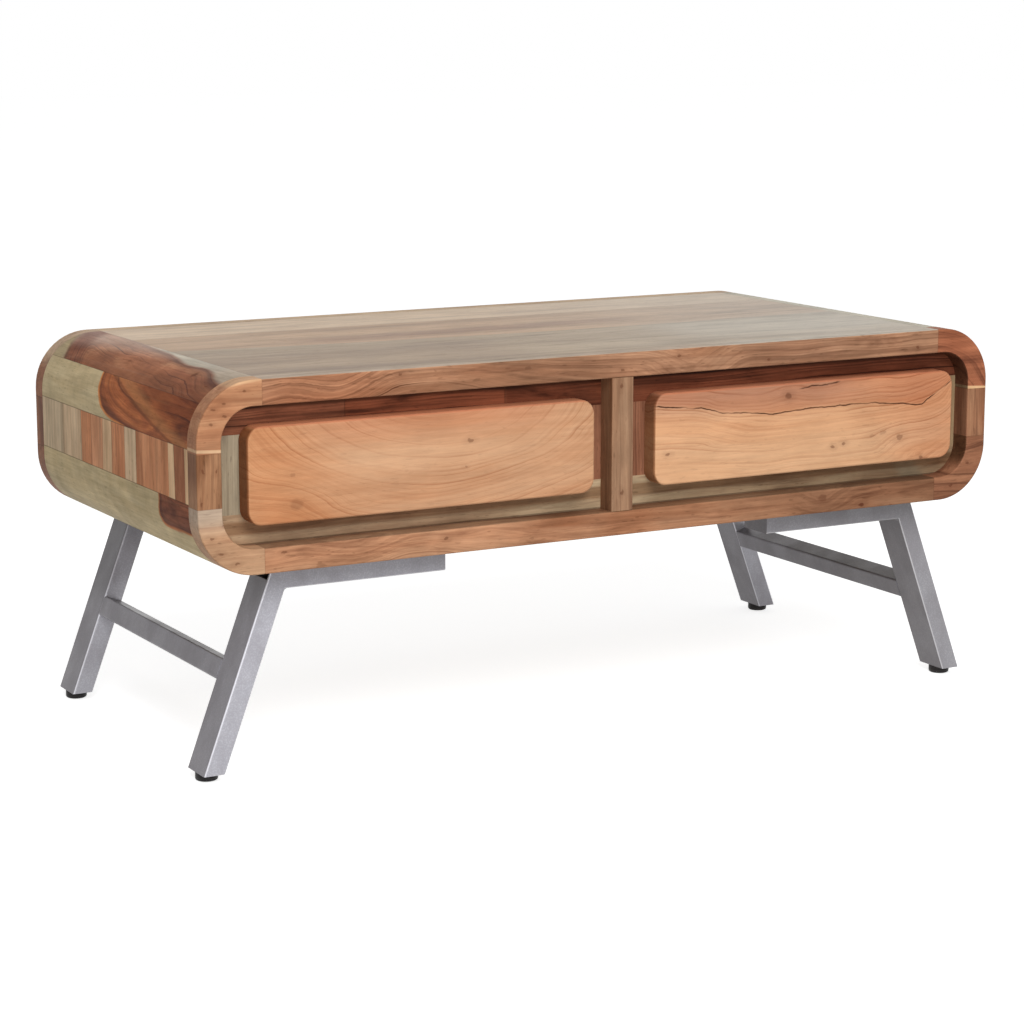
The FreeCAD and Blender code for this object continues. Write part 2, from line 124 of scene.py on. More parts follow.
class NodeDesk:
    """One material's node tree, with a short method for each kind of node used here."""

    NUMBER_RESULTS = ("LENGTH", "DISTANCE", "DOT_PRODUCT")
    MIX_INPUTS = (0, 6, 7)
    MIX_OUTPUT = 2
    DRIFT_DETAIL = 2.0
    DRIFT_MIDDLE = (0.5, 0.5, 0.5)

    def __init__(self, name: str) -> None:
        """Start an empty material.

        Args:
            name: Name of the material.
        """
        self.material = bpy.data.materials.new(name)
        self.material.use_nodes = True
        self.tree = self.material.node_tree
        self.tree.nodes.clear()

    def add(self, kind: str, **settings: object) -> bpy.types.Node:
        """Add a node.

        Args:
            kind: Blender's type name of the node.
            settings: Properties set on the node.

        Returns:
            The new node.
        """
        node = self.tree.nodes.new(kind)
        for key, value in settings.items():
            setattr(node, key, value)
        return node

    def feed(self, socket: Socket, value: object) -> None:
        """Link a socket to another one, or set its own value.

        Args:
            socket: The input.
            value: An output socket, a number, a vector, or a colour of 0 to 255.
        """
        if isinstance(value, Socket):
            self.tree.links.new(value, socket)
        elif socket.type == "RGBA":
            socket.default_value = linear(value)
        else:
            socket.default_value = value

    def fill(self, node: bpy.types.Node, *values: object) -> Socket:
        """Feed a node's first inputs in their order.

        Args:
            node: The node.
            values: What each input gets.

        Returns:
            The node's first output.
        """
        for socket, value in zip(node.inputs, values):
            self.feed(socket, value)
        return node.outputs[0]

    def fill_named(self, node: bpy.types.Node, values: dict[str, object]) -> bpy.types.Node:
        """Feed a node's inputs by their names.

        Args:
            node: The node.
            values: What each named input gets.

        Returns:
            The same node.
        """
        for name, value in values.items():
            self.feed(node.inputs[name], value)
        return node

    def math(self, operation: str, a: Value, b: Value = 0.0, c: Value = 0.0) -> Socket:
        """Return the result of a Math node on up to three values."""
        return self.fill(self.add("ShaderNodeMath", operation=operation), a, b, c)

    def vector(self, operation: str, a: Wire, b: Wire = (0.0, 0.0, 0.0)) -> Socket:
        """Work out a Vector Math node.

        Args:
            operation: Its operation.
            a: First vector.
            b: Second vector.

        Returns:
            A vector, or a number for a length, a distance or a dot product.
        """
        node = self.add("ShaderNodeVectorMath", operation=operation)
        self.fill(node, a, b)
        return node.outputs["Value" if operation in self.NUMBER_RESULTS else "Vector"]

    def parts(self, point: Socket) -> tuple[Socket, ...]:
        """Take a vector apart.

        Args:
            point: The vector.

        Returns:
            Its X, Y and Z.
        """
        node = self.add("ShaderNodeSeparateXYZ")
        self.fill(node, point)
        return tuple(node.outputs)

    def join(self, x: Value, y: Value, z: Value) -> Socket:
        """Return a vector of three numbers."""
        return self.fill(self.add("ShaderNodeCombineXYZ"), x, y, z)

    def span(self, value: Value, low: float, high: float, start: float = 0.0, end: float = 1.0) -> Socket:
        """Return a value eased from start to end while it goes from low to high."""
        node = self.add("ShaderNodeMapRange", interpolation_type="SMOOTHSTEP")
        return self.fill(node, value, low, high, start, end)

    def share(self, value: Value, low: float, high: float) -> Socket:
        """Return how far a value is from low to high, held between 0 and 1."""
        return self.fill(self.add("ShaderNodeMapRange"), value, low, high, 0.0, 1.0)

    def noise_node(self, point: Wire, detail: float, roughness: float, distortion: float) -> bpy.types.Node:
        """Add noise that reads a point already scaled to the pattern's size.

        Args:
            point: The scaled point.
            detail: How many finer layers it has.
            roughness: Share of each finer layer.
            distortion: How far it is swirled.

        Returns:
            The noise node.
        """
        node = self.add("ShaderNodeTexNoise", noise_dimensions="3D")
        shape = {"Detail": detail, "Roughness": roughness, "Distortion": distortion}
        return self.fill_named(node, {"Vector": point, "Scale": 1.0, **shape})

    def noise(self, point: Wire, detail: float = 1.0, roughness: float = 0.5,
              distortion: float = 0.0) -> Socket:
        """Return noise as one number about a half."""
        return self.noise_node(point, detail, roughness, distortion).outputs[0]

    def drift(self, point: Wire) -> Socket:
        """Return noise as a vector about zero."""
        node = self.noise_node(point, self.DRIFT_DETAIL, 0.5, 0.0)
        return self.vector("SUBTRACT", node.outputs[1], self.DRIFT_MIDDLE)

    def noise_line(self, value: Value, scale: float, detail: float = 1.0) -> Socket:
        """Return noise that varies along one number."""
        node = self.add("ShaderNodeTexNoise", noise_dimensions="1D")
        return self.fill_named(node, {"W": value, "Scale": scale, "Detail": detail}).outputs[0]

    def mix(self, share: Value, a: Paint, b: Paint, blend: Blend = Blend.OVER) -> Socket:
        """Mix two colours.

        Args:
            share: Share of the second colour.
            a: First colour.
            b: Second colour.
            blend: How the second meets the first.

        Returns:
            The mixed colour.
        """
        node = self.add("ShaderNodeMix", data_type="RGBA", blend_type=blend.value)
        for index, value in zip(self.MIX_INPUTS, (share, a, b)):
            self.feed(node.inputs[index], value)
        return node.outputs[self.MIX_OUTPUT]

    def lightened(self, colour: Paint, light: Value) -> Socket:
        """Return a colour times a lightness."""
        return self.mix(1.0, colour, self.join(light, light, light), Blend.SHADE)

    def steps(self, value: Value, stops: list[tuple[float, Rgb]]) -> Socket:
        """Return a colour that holds from each stop to the next.

        Args:
            value: Place on the ramp, from 0 to 1.
            stops: Places and colours in rising order.

        Returns:
            The colour.
        """
        node = self.add("ShaderNodeValToRGB")
        node.color_ramp.interpolation = "CONSTANT"
        elements = node.color_ramp.elements
        while len(elements) < len(stops):
            elements.new(1.0)
        for element, (place, colour) in zip(elements, stops):
            element.position = place
            element.color = linear(colour)
        return self.fill(node, value)

    def surface(self, looks: dict[str, object], height: Value, strength: float,
                depth: float) -> bpy.types.Material:
        """End the material with a principled shader that has a fine relief.

        Args:
            looks: What the shader's named inputs get.
            height: Height of the relief.
            strength: Strength of the relief, from 0 to 1.
            depth: Depth of the relief.

        Returns:
            The material.
        """
        shader = self.fill_named(self.add("ShaderNodeBsdfPrincipled"), looks)
        relief = {"Strength": strength, "Distance": depth, "Height": height}
        bump = self.fill_named(self.add("ShaderNodeBump"), relief)
        self.feed(shader.inputs["Normal"], bump.outputs[0])
        self.feed(self.add("ShaderNodeOutputMaterial").inputs["Surface"], shader.outputs[0])
        return self.material


class Tone(Enum):
    """Named wood colours: pale early wood, dark late wood and the blush of broad patches."""

    PEACH = ((202, 159, 124), (156, 100, 67), (190, 139, 102))
    PEACH_LIGHT = ((222, 178, 140), (170, 110, 74), (214, 160, 118))
    RAIL_TAN = ((194, 150, 118), (98, 60, 42), (160, 110, 80))
    RAIL_RUST = ((208, 161, 125), (110, 67, 47), (178, 126, 93))
    CORNER_ORANGE = ((196, 147, 110), (136, 86, 60), (174, 119, 85))
    CORNER_CREAM = ((203, 163, 128), (148, 106, 80), (181, 139, 106))
    STILE_BROWN = ((170, 129, 96), (100, 63, 45), (140, 96, 67))
    STILE_DARK = ((176, 130, 98), (102, 66, 48), (146, 96, 70))
    CORNER_RED = ((186, 118, 85), (96, 54, 39), (152, 92, 66))
    CORNER_BROWN = ((168, 118, 88), (96, 58, 42), (140, 90, 66))
    POST_TAN = ((172, 137, 108), (104, 72, 54), (142, 104, 78))
    COCOA = ((152, 104, 79), (80, 46, 33), (124, 78, 57))
    CHOCOLATE = ((180, 114, 84), (62, 34, 24), (122, 72, 52))
    OLIVE = ((176, 154, 120), (104, 80, 58), (142, 112, 82))
    FRAME_OLIVE = ((204, 182, 148), (120, 96, 74), (167, 136, 106))
    GREY_OLIVE = ((164, 150, 127), (107, 91, 72), (142, 126, 104))
    SAPWOOD = ((216, 197, 157), (160, 138, 100), (196, 174, 133))
    SAP_GREEN = ((218, 212, 194), (164, 154, 132), (202, 192, 170))
    STAVE_GREY = ((226, 203, 170), (140, 114, 88), (208, 182, 149))
    STAVE_OLIVE = ((230, 203, 168), (150, 122, 92), (212, 179, 144))
    STAVE_RED = ((224, 160, 118), (142, 84, 57), (206, 137, 96))
    STAVE_ROSE = ((232, 174, 134), (156, 98, 69), (216, 150, 110))
    STAVE_DARK = ((186, 126, 92), (112, 67, 47), (160, 102, 72))
    STAVE_CREAM = ((238, 204, 164), (188, 144, 106), (224, 184, 143))
    TOP_GREY = ((184, 161, 130), (120, 95, 70), (160, 136, 106))
    TOP_TAN = ((196, 160, 122), (120, 84, 58), (174, 138, 102))
    TOP_BEIGE = ((220, 192, 158), (158, 124, 94), (206, 176, 142))
    HEART_BROWN = ((156, 102, 68), (90, 50, 34), (136, 84, 56))
    BOX_PLAIN = ((206, 174, 132), (158, 122, 84), (192, 156, 114))

    @property
    def pale(self) -> Rgb:
        """Colour of the early wood."""
        return self.value[0]

    @property
    def dark(self) -> Rgb:
        """Colour of the late-wood lines."""
        return self.value[1]

    @property
    def blush(self) -> Rgb:
        """Colour of the broad patches."""
        return self.value[2]


@dataclass(frozen=True)
class Knot:
    """A knot or speck; the rings flow round a large one."""

    place: Point
    radius: float = 0.012
    darkness: float = 0.7


@dataclass(frozen=True)
class PaintedSideShade:
    """A painted shade on the faces that look one way, or on all but the front and back faces."""

    colour: Rgb
    towards: Optional[Point] = None


@dataclass(frozen=True)
class Zone:
    """A zone of another colour that lies along a plane, over a stretch of the width if one is given."""

    normal: Point
    offset: float
    width: float
    colour: Rgb
    strength: float = 1.0
    softness: float = 0.35
    blend: Blend = Blend.OVER
    stretch: Optional[Stretch] = None


def shaded(normal: Point, offset: float, width: float, colour: Rgb, strength: float = 0.9,
           softness: float = 0.9, stretch: Optional[Stretch] = None) -> Zone:
    """Return a zone that darkens the wood under it."""
    return Zone(normal, offset, width, colour, strength, softness, Blend.SHADE, stretch)


@dataclass(frozen=True)
class Heart:
    """Dark heartwood inside every one of some planes, with a rounded outline."""

    planes: tuple[tuple[Point, float], ...]
    rounding: float = 0.06
    edge: float = 0.0016
    swirl: float = 0.7
    glow: Rgb = (190, 124, 80)
    core: Rgb = (150, 92, 60)
    line: Rgb = (80, 42, 28)
    rim: Rgb = (196, 124, 72)


@dataclass(frozen=True)
class Crack:
    """A dark wandering line across a board's face, with another tint above it."""

    course: Profile
    above: Rgb = (255, 255, 255)
    line: Rgb = (62, 34, 24)
    half_width: float = 0.0013


@dataclass(frozen=True)
class Band:
    """One board or stave of a glued panel, up to a place along Y."""

    until_y: float
    tone: Tone


@dataclass(frozen=True)
class WoodCut:
    """How one piece of wood is cut: its colours, rings, fibres and marks."""

    grain: Grain
    tone: Tone
    pith: Point = (0.0, 0.0, 0.0)
    reach: Point = (1.0, 1.0, 1.0)
    ring_gap: float = 0.006
    ring_strength: float = 0.5
    wobble: float = 0.006
    arc_half: float = 0.0
    blush: float = 0.85
    banding: float = 0.35
    figure: float = 0.5
    figure_scale: float = 42.0
    clouds: float = 0.16
    smoke: float = 0.45
    streaks: float = 0.35
    fibres: float = 0.10
    pores: float = 0.25
    flecks: float = 0.25
    # Painted shade on the faces that look one way
    painted_side_shade: Optional[PaintedSideShade] = None
    knots: tuple[Knot, ...] = ()
    zones: tuple[Zone, ...] = ()
    bands: tuple[Band, ...] = ()
    sway: float = 0.014
    bow: float = 0.0
    heart: Optional[Heart] = None
    cracks: tuple[Crack, ...] = ()
    seed: float = 0.0


@dataclass
class Painted:
    """A wood cut's colour and relief as sockets."""

    colour: Socket
    relief: Socket


class WoodPainter:
    """Draws wood cuts into a node tree."""

    SEED_STEPS = (7.31, 3.17, 5.77)
    FACING = (0.3, 0.75)

    # Boards of a glued panel
    BAND_LOW = -0.27
    BAND_SPAN = 0.54
    LINE_HALF = 0.0004
    SWAY_SCALES = (5.0, 15.0)
    BOW_MIDDLE = 0.15
    BOW_FADE = 0.12
    BOW_REST = 0.0086
    SHIFT_STEPS = (37, 3, 7)
    SHIFT_TOPS = (251, 255)
    SEAM_STEP = 0.002
    SEAM_STRENGTH = 0.5

    # Rings: waves are scales along and across the fibres and a share of the wobble
    WAVES = ((3.5, 14.0, 4.0), (15.0, 65.0, 0.7))
    CRACK_PULL = (0.0, 0.07, 1.0, 0.3)
    RING_START = 100.0
    RING_NOISE = (0.29, 3.0)
    RING_SHIFT = 3.4
    LATE_RISE = (0.1, 0.88)
    LATE_POWER = 1.7
    LATE_FALL = (0.88, 1.0, 1.0, 0.0)
    STRONG_SCALE = 0.61
    STRONG_SPAN = (0.35, 0.7, 0.1, 1.0)
    HAIRS_PER_RING = 3.17
    HAIR_RISE = (0.35, 0.85)
    HAIR_FALL = (0.85, 1.0, 1.0, 0.0)
    HAIR_STRENGTH = 0.28
    PATCH_SCALES = (7.0, 16.0)
    PATCH_SPAN = (0.32, 0.62)
    PATCH_LEAST = 0.3
    ZONE_RINGS = 5
    ZONE_SPAN = (0.35, 0.65)
    SAPWOOD_RINGS = 0.15

    # Knots, in shares of their radius
    FLOW_RADIUS = 0.0075
    KNOT_SQUASH = 0.8
    SPECK_SQUASH = 0.5
    KNOT_RIPPLE = 150.0
    KNOT_ROUGHNESS = (0.007, 0.0, 0.005)
    FLOW_REACH = 4.0
    FLOW_LIFT = 0.9
    KNOT_CORE = (0.25, 0.6)
    KNOT_HALO = (0.5, 1.6)
    HALO_DARKNESS = 0.25

    # Heartwood, by its depth from the edge
    SWIRL_SCALES = (6.0, 22.0)
    SWIRL_NOISE = (4.0, 0.55, 1.4)
    CORE_SPAN = (0.3, 0.54)
    LINE_SPAN = (0.5, 0.7)
    HEART_RINGS = (0.0, 0.09, 1.1, 0.5)
    DARK_EDGE = (0.003, 0.013, 0.7, 0.0)
    BRIGHT_RIM = (0.0012, 0.0042, 0.8, 0.0)
    EDGE_INSIDE = 0.75

    # Cracks and zones
    CRACK_JITTER = 0.006
    CRACK_SCALE = 45.0
    CRACK_ABOVE = (-0.002, 0.004)
    CRACK_PATCHES = (0.34, 0.54, 0.3, 1.0)
    CRACK_PATCH_SCALE = 22.0
    CRACK_END = 0.008
    CRACK_CORE = 0.0002
    STRETCH_EASE = 0.05

    # Fine figure: scales along and across the fibres, noise settings and spans
    FIGURE_ALONG = 0.12
    FIGURE_NOISE = (5.0, 0.6, 0.9)
    FIGURE_BLUSH = (0.32, 0.6)
    FIGURE_DARK = (0.53, 0.72)
    CLOUD_SCALES = (17.0, 32.0)
    CLOUD_SPAN = (0.28, 0.72)
    CLOUD_LIFT = 0.5
    SMOKE_SCALES = (2.4, 30.0)
    SMOKE_SPAN = (0.47, 0.7)
    STREAK_SCALES = (2.6, 140.0)
    STREAK_SPAN = (0.56, 0.72)
    FIBRE_SCALES = (14.0, 300.0)
    FIBRE_SPAN = (0.3, 0.7)
    FIBRE_LIFT = 0.6
    PORE_SCALES = (70.0, 900.0)
    PORE_SPAN = (0.66, 0.76)
    FLECK_SCALES = (60.0, 240.0)
    FLECK_SPAN = (0.69, 0.74)

    SEAM_BROWN = (64, 42, 30)
    KNOT_BROWN = (88, 48, 32)
    PORE_BROWN = (70, 42, 30)
    FLECK_BROWN = (92, 58, 42)
    SMOKE_GREY = (188, 182, 178)

    def __init__(self, desk: NodeDesk) -> None:
        """Read the object's own coordinates once for all cuts.

        Args:
            desk: The node tree to draw into.
        """
        self.desk = desk
        place = desk.add("ShaderNodeTexCoord")
        self.point = place.outputs["Object"]
        self.normal = place.outputs["Normal"]

    def spot(self, cut: WoodCut, along: float, across: float, source: Optional[Wire] = None) -> Socket:
        """Scale a point along and across the fibres and move it by the cut's seed.

        Args:
            cut: The cut of wood.
            along: Scale along the fibres.
            across: Scale across them.
            source: The point, or none for the object's own.

        Returns:
            The scaled point.
        """
        scaled = self.desk.vector("MULTIPLY", source or self.point, cut.grain.scales(along, across))
        x, y, z = self.SEED_STEPS
        return self.desk.vector("ADD", scaled, (cut.seed * x, cut.seed * y, cut.seed * z))

    def board_steps(self, cut: WoodCut, place: Value, colours: list[Rgb]) -> Socket:
        """Step a colour from board to board along Y.

        Args:
            cut: The cut of wood.
            place: Place across the boards, from 0 to 1.
            colours: One colour for each board.

        Returns:
            The colour.
        """
        stops = [(0.0, colours[0])]
        for band, colour in zip(cut.bands, colours[1:]):
            stops.append(((band.until_y - self.BAND_LOW) / self.BAND_SPAN, colour))
        return self.desk.steps(place, stops)

    def board_place(self, cut: WoodCut) -> Socket:
        """Measure the place across the boards, whose edges sway and bow.

        Args:
            cut: The cut of wood.

        Returns:
            The place, from 0 to 1.
        """
        desk = self.desk
        x, y, _ = desk.parts(self.point)
        sway = desk.noise(self.spot(cut, *self.SWAY_SCALES))
        y = desk.math("MULTIPLY_ADD", desk.math("SUBTRACT", sway, 0.5), cut.sway, y)
        if cut.bow > 0.0:
            x = desk.math("SUBTRACT", x, self.BOW_MIDDLE)
            fade = desk.span(y, 0.0, self.BOW_FADE, cut.bow, 0.0)
            lift = desk.math("MULTIPLY", desk.math("MULTIPLY", x, x), fade)
            y = desk.math("SUBTRACT", y, desk.math("SUBTRACT", lift, self.BOW_REST))
        return desk.math("DIVIDE", desk.math("SUBTRACT", y, self.BAND_LOW), self.BAND_SPAN)

    def boards(self, cut: WoodCut) -> tuple[Paint, Paint, Paint, Wire, Value]:
        """Lay out the boards of a glued panel, or the one board of a plain piece.

        Args:
            cut: The cut of wood.

        Returns:
            Pale, dark and blush colours, a point shifted board by board and the mask of glue lines.
        """
        desk = self.desk
        if not cut.bands:
            return cut.tone.pale, cut.tone.dark, cut.tone.blush, self.point, 0.0
        place = self.board_place(cut)
        step, second, third = self.SHIFT_STEPS
        most, top = self.SHIFT_TOPS
        greys = [(step * (i + 1)) % most for i in range(len(cut.bands))]
        shades = [(grey, (grey * second) % top, (grey * third) % top) for grey in greys]
        pale = self.board_steps(cut, place, [band.tone.pale for band in cut.bands])
        dark = self.board_steps(cut, place, [band.tone.dark for band in cut.bands])
        blush = self.board_steps(cut, place, [band.tone.blush for band in cut.bands])
        shift = self.board_steps(cut, place, shades)
        half = self.LINE_HALF / self.BAND_SPAN
        sides = [self.board_steps(cut, desk.math("ADD", place, move), shades) for move in (-half, half)]
        seam = desk.math("GREATER_THAN", desk.vector("DISTANCE", sides[0], sides[1]), self.SEAM_STEP)
        return pale, dark, blush, desk.vector("ADD", self.point, shift), seam

    def bend(self, cut: WoodCut, moved: Wire) -> Socket:
        """Bend the point by broad and fine waves, so that rings wander.

        Args:
            cut: The cut of wood.
            moved: The point shifted board by board.

        Returns:
            The bent point.
        """
        desk = self.desk
        out = self.point
        for along, across, share in self.WAVES:
            sway = desk.drift(self.spot(cut, along, across, moved))
            out = desk.vector("ADD", out, desk.vector("MULTIPLY", sway, (cut.wobble * share,) * 3))
        return out

    def heart_depth(self, cut: WoodCut, bent: Wire) -> Socket:
        """Measure how far a point lies inside the heartwood.

        Args:
            cut: The cut of wood.
            bent: The bent point.

        Returns:
            The depth, negative outside the heartwood.
        """
        desk = self.desk
        gaps = [desk.math("SUBTRACT", desk.vector("DOT_PRODUCT", bent, normal), offset)
                for normal, offset in cut.heart.planes]
        gap = gaps[0]
        for other in gaps[1:]:
            gap = desk.math("SMOOTH_MAX", gap, other, cut.heart.rounding)
        return desk.math("MULTIPLY", gap, -1.0)

    def pith_distance(self, cut: WoodCut, bent: Wire) -> Socket:
        """Measure the distance from the pith; arcs run out into lines along X, and rings follow a crack.

        Args:
            cut: The cut of wood.
            bent: The bent point.

        Returns:
            The distance.
        """
        desk = self.desk
        offset = desk.vector("SUBTRACT", bent, cut.pith)
        if cut.arc_half > 0.0:
            x, y, z = desk.parts(offset)
            level = desk.math("TANH", desk.math("DIVIDE", x, cut.arc_half))
            offset = desk.join(desk.math("MULTIPLY", level, cut.arc_half), y, z)
        distance = desk.vector("LENGTH", desk.vector("MULTIPLY", offset, cut.reach))
        if not cut.cracks:
            return distance
        course = cut.cracks[0].course
        height = self.course_height(course, "AUTO_CLAMPED")
        gap = desk.math("ABSOLUTE", desk.math("SUBTRACT", desk.parts(bent)[2], height))
        rise = desk.math("SUBTRACT", height, sum(z for _, z in course) / len(course))
        return desk.math("MULTIPLY_ADD", rise, desk.span(gap, *self.CRACK_PULL), distance)

    def course_height(self, course: Profile, handles: str) -> Socket:
        """Follow a course along X.

        Args:
            course: X and Z of its points.
            handles: Blender's handle type for sharp or eased kinks.

        Returns:
            The course's height at each place along X.
        """
        desk = self.desk
        low, high = course[0][0], course[-1][0]
        floor = min(z for _, z in course)
        rise = max(z for _, z in course) - floor
        node = desk.add("ShaderNodeFloatCurve")
        points = node.mapping.curves[0].points
        while len(points) < len(course):
            points.new(0.5, 0.5)
        for point, (x, z) in zip(points, course):
            point.location = ((x - low) / (high - low), (z - floor) / rise)
            point.handle_type = handles
        node.mapping.update()
        desk.feed(node.inputs["Value"], desk.share(desk.parts(self.point)[0], low, high))
        return desk.math("MULTIPLY_ADD", node.outputs[0], rise, floor)

    def ring_distance(self, cut: WoodCut, bent: Wire) -> tuple[Value, Value]:
        """Measure the distance that the growth rings follow, and draw the knots.

        Args:
            cut: The cut of wood.
            bent: The bent point.

        Returns:
            The distance, and how dark the knots are.
        """
        desk = self.desk
        distance = self.heart_depth(cut, bent) if cut.heart is not None else self.pith_distance(cut, bent)
        shade: Value = 0.0
        ripple = desk.drift(self.spot(cut, self.KNOT_RIPPLE, self.KNOT_RIPPLE))
        rough = desk.vector("ADD", self.point, desk.vector("MULTIPLY", ripple, self.KNOT_ROUGHNESS))
        for knot in cut.knots:
            radius, large = knot.radius, knot.radius > self.FLOW_RADIUS
            away = desk.vector("SUBTRACT", rough, knot.place)
            squash = cut.grain.scales(self.KNOT_SQUASH if large else self.SPECK_SQUASH, 1.0)
            gap = desk.vector("LENGTH", desk.vector("MULTIPLY", away, squash))
            if large:
                lift = desk.span(gap, 0.0, radius * self.FLOW_REACH, radius * self.FLOW_LIFT, 0.0)
                distance = desk.math("ADD", distance, lift)
            core, halo = ([radius * share for share in ends] for ends in (self.KNOT_CORE, self.KNOT_HALO))
            dark = desk.span(gap, *core, knot.darkness, 0.0)
            faint = desk.span(gap, *halo, knot.darkness * self.HALO_DARKNESS, 0.0)
            shade = desk.math("MAXIMUM", desk.math("MAXIMUM", dark, faint), shade)
        return distance, shade

    def rings(self, cut: WoodCut, distance: Value) -> Socket:
        """Draw dark late-wood lines along the rings.

        Args:
            cut: The cut of wood.
            distance: The distance that the rings follow.

        Returns:
            The lines' mask.
        """
        desk = self.desk
        count = desk.math("DIVIDE", distance, cut.ring_gap)
        count = desk.math("ADD", count, self.RING_START + cut.seed)
        count = desk.math("MULTIPLY_ADD", desk.noise_line(count, *self.RING_NOISE), self.RING_SHIFT, count)
        saw = desk.math("FRACT", count)
        rise = desk.math("POWER", desk.span(saw, *self.LATE_RISE), self.LATE_POWER)
        late = desk.math("MULTIPLY", rise, desk.span(saw, *self.LATE_FALL))
        strong = desk.span(desk.noise_line(count, self.STRONG_SCALE), *self.STRONG_SPAN)
        hair = desk.math("FRACT", desk.math("MULTIPLY", count, self.HAIRS_PER_RING))
        thin = desk.math("MULTIPLY", desk.span(hair, *self.HAIR_RISE), desk.span(hair, *self.HAIR_FALL))
        both = desk.math("MULTIPLY_ADD", thin, self.HAIR_STRENGTH, desk.math("MULTIPLY", late, strong))
        patch = desk.noise(self.spot(cut, *self.PATCH_SCALES))
        strength = cut.ring_strength
        fade = desk.span(patch, *self.PATCH_SPAN, self.PATCH_LEAST * strength, strength)
        return desk.math("MULTIPLY", both, fade)

    def heartwood(self, cut: WoodCut, depth: Value, rings: Value, colour: Paint) -> Socket:
        """Lay the heartwood's swirls, ring lines, dark edge and bright rim over the sapwood.

        Args:
            cut: The cut of wood.
            depth: Depth inside the heartwood.
            rings: Mask of the ring lines.
            colour: Colour of the sapwood.

        Returns:
            The colour of both.
        """
        desk, heart = self.desk, cut.heart
        swirl = desk.noise(self.spot(cut, *self.SWIRL_SCALES), *self.SWIRL_NOISE)
        wood = desk.mix(desk.span(swirl, *self.CORE_SPAN), heart.glow, heart.core)
        wood = desk.mix(desk.span(swirl, *self.LINE_SPAN, 0.0, heart.swirl), wood, heart.line)
        lines = desk.math("MULTIPLY", rings, desk.span(depth, *self.HEART_RINGS))
        wood = desk.mix(lines, wood, heart.line)
        wood = desk.mix(desk.span(depth, *self.DARK_EDGE), wood, heart.line)
        wood = desk.mix(desk.span(depth, *self.BRIGHT_RIM), wood, heart.rim)
        return desk.mix(desk.span(depth, -heart.edge, self.EDGE_INSIDE * heart.edge), colour, wood)

    def cracked(self, cut: WoodCut, crack: Crack, colour: Paint) -> Socket:
        """Draw a crack and the tint above it.

        Args:
            cut: The cut of wood.
            crack: The crack.
            colour: Colour under it.

        Returns:
            The colour with the crack.
        """
        desk = self.desk
        x, _, z = desk.parts(self.point)
        low, high = crack.course[0][0], crack.course[-1][0]
        course = self.course_height(crack.course, "VECTOR")
        noise = desk.noise(self.spot(cut, self.CRACK_SCALE, self.CRACK_SCALE), 3.0)
        jitter = desk.math("SUBTRACT", noise, 0.5)
        gap = desk.math("SUBTRACT", z, desk.math("MULTIPLY_ADD", jitter, self.CRACK_JITTER, course))
        colour = desk.mix(desk.span(gap, *self.CRACK_ABOVE), colour, crack.above, Blend.SHADE)
        patches = desk.noise(self.spot(cut, self.CRACK_PATCH_SCALE, self.CRACK_PATCH_SCALE), 2.0)
        start = desk.span(x, low, low + self.CRACK_END)
        ends = desk.math("MULTIPLY", start, desk.span(x, high - self.CRACK_END, high, 1.0, 0.0))
        line = desk.span(desk.math("ABSOLUTE", gap), self.CRACK_CORE, crack.half_width, 1.0, 0.0)
        line = desk.math("MULTIPLY", line, desk.span(patches, *self.CRACK_PATCHES))
        return desk.mix(desk.math("MULTIPLY", line, ends), colour, crack.line)

    def zoned(self, zone: Zone, colour: Paint) -> Socket:
        """Lay one zone over the wood.

        Args:
            zone: The zone.
            colour: Colour under it.

        Returns:
            The colour with the zone.
        """
        desk = self.desk
        gap = desk.math("SUBTRACT", desk.vector("DOT_PRODUCT", self.point, zone.normal), zone.offset)
        half, soft = zone.width / 2, zone.softness
        near, far = half * (1 - soft), half * (1 + soft)
        mask = desk.span(desk.math("ABSOLUTE", gap), near, far, zone.strength, 0.0)
        if zone.stretch is not None:
            x = desk.parts(self.point)[0]
            (low, high), ease = zone.stretch, self.STRETCH_EASE
            mask = desk.math("MULTIPLY", mask, desk.span(x, low - ease, low + ease))
            mask = desk.math("MULTIPLY", mask, desk.span(x, high - ease, high + ease, 1.0, 0.0))
        return desk.mix(mask, colour, zone.colour, zone.blend)

    def weathered(self, cut: WoodCut, moved: Wire, dark: Paint, colour: Paint) -> Socket:
        """Lay soft clouds, smoky patches and long dark streaks over the wood.

        Args:
            cut: The cut of wood.
            moved: The point shifted board by board.
            dark: Colour of the streaks.
            colour: Colour under them.

        Returns:
            The weathered colour.
        """
        desk = self.desk
        cloud = desk.noise(self.spot(cut, *self.CLOUD_SCALES, moved), 4.0, 0.6)
        light = desk.span(cloud, *self.CLOUD_SPAN, 1.0 - cut.clouds, 1.0 + self.CLOUD_LIFT * cut.clouds)
        colour = desk.lightened(colour, light)
        smoke = desk.noise(self.spot(cut, *self.SMOKE_SCALES, moved), 4.0, 0.6, 0.6)
        smoky = desk.span(smoke, *self.SMOKE_SPAN, 0.0, cut.smoke)
        colour = desk.mix(smoky, colour, self.SMOKE_GREY, Blend.SHADE)
        streak = desk.noise(self.spot(cut, *self.STREAK_SCALES, moved), 2.0, 0.55)
        return desk.mix(desk.span(streak, *self.STREAK_SPAN, 0.0, cut.streaks), colour, dark)

    def painted_side_shaded(self, tint: PaintedSideShade, colour: Paint) -> Socket:
        """Lay a painted shade over the faces that look its way.

        Args:
            tint: The painted shade.
            colour: Colour under it.

        Returns:
            The shaded colour.
        """
        desk = self.desk
        if tint.towards is None:
            mask = desk.span(desk.math("ABSOLUTE", desk.parts(self.normal)[1]), *self.FACING, 1.0, 0.0)
        else:
            mask = desk.span(desk.vector("DOT_PRODUCT", self.normal, tint.towards), *self.FACING)
        return desk.mix(mask, colour, tint.colour, Blend.SHADE)

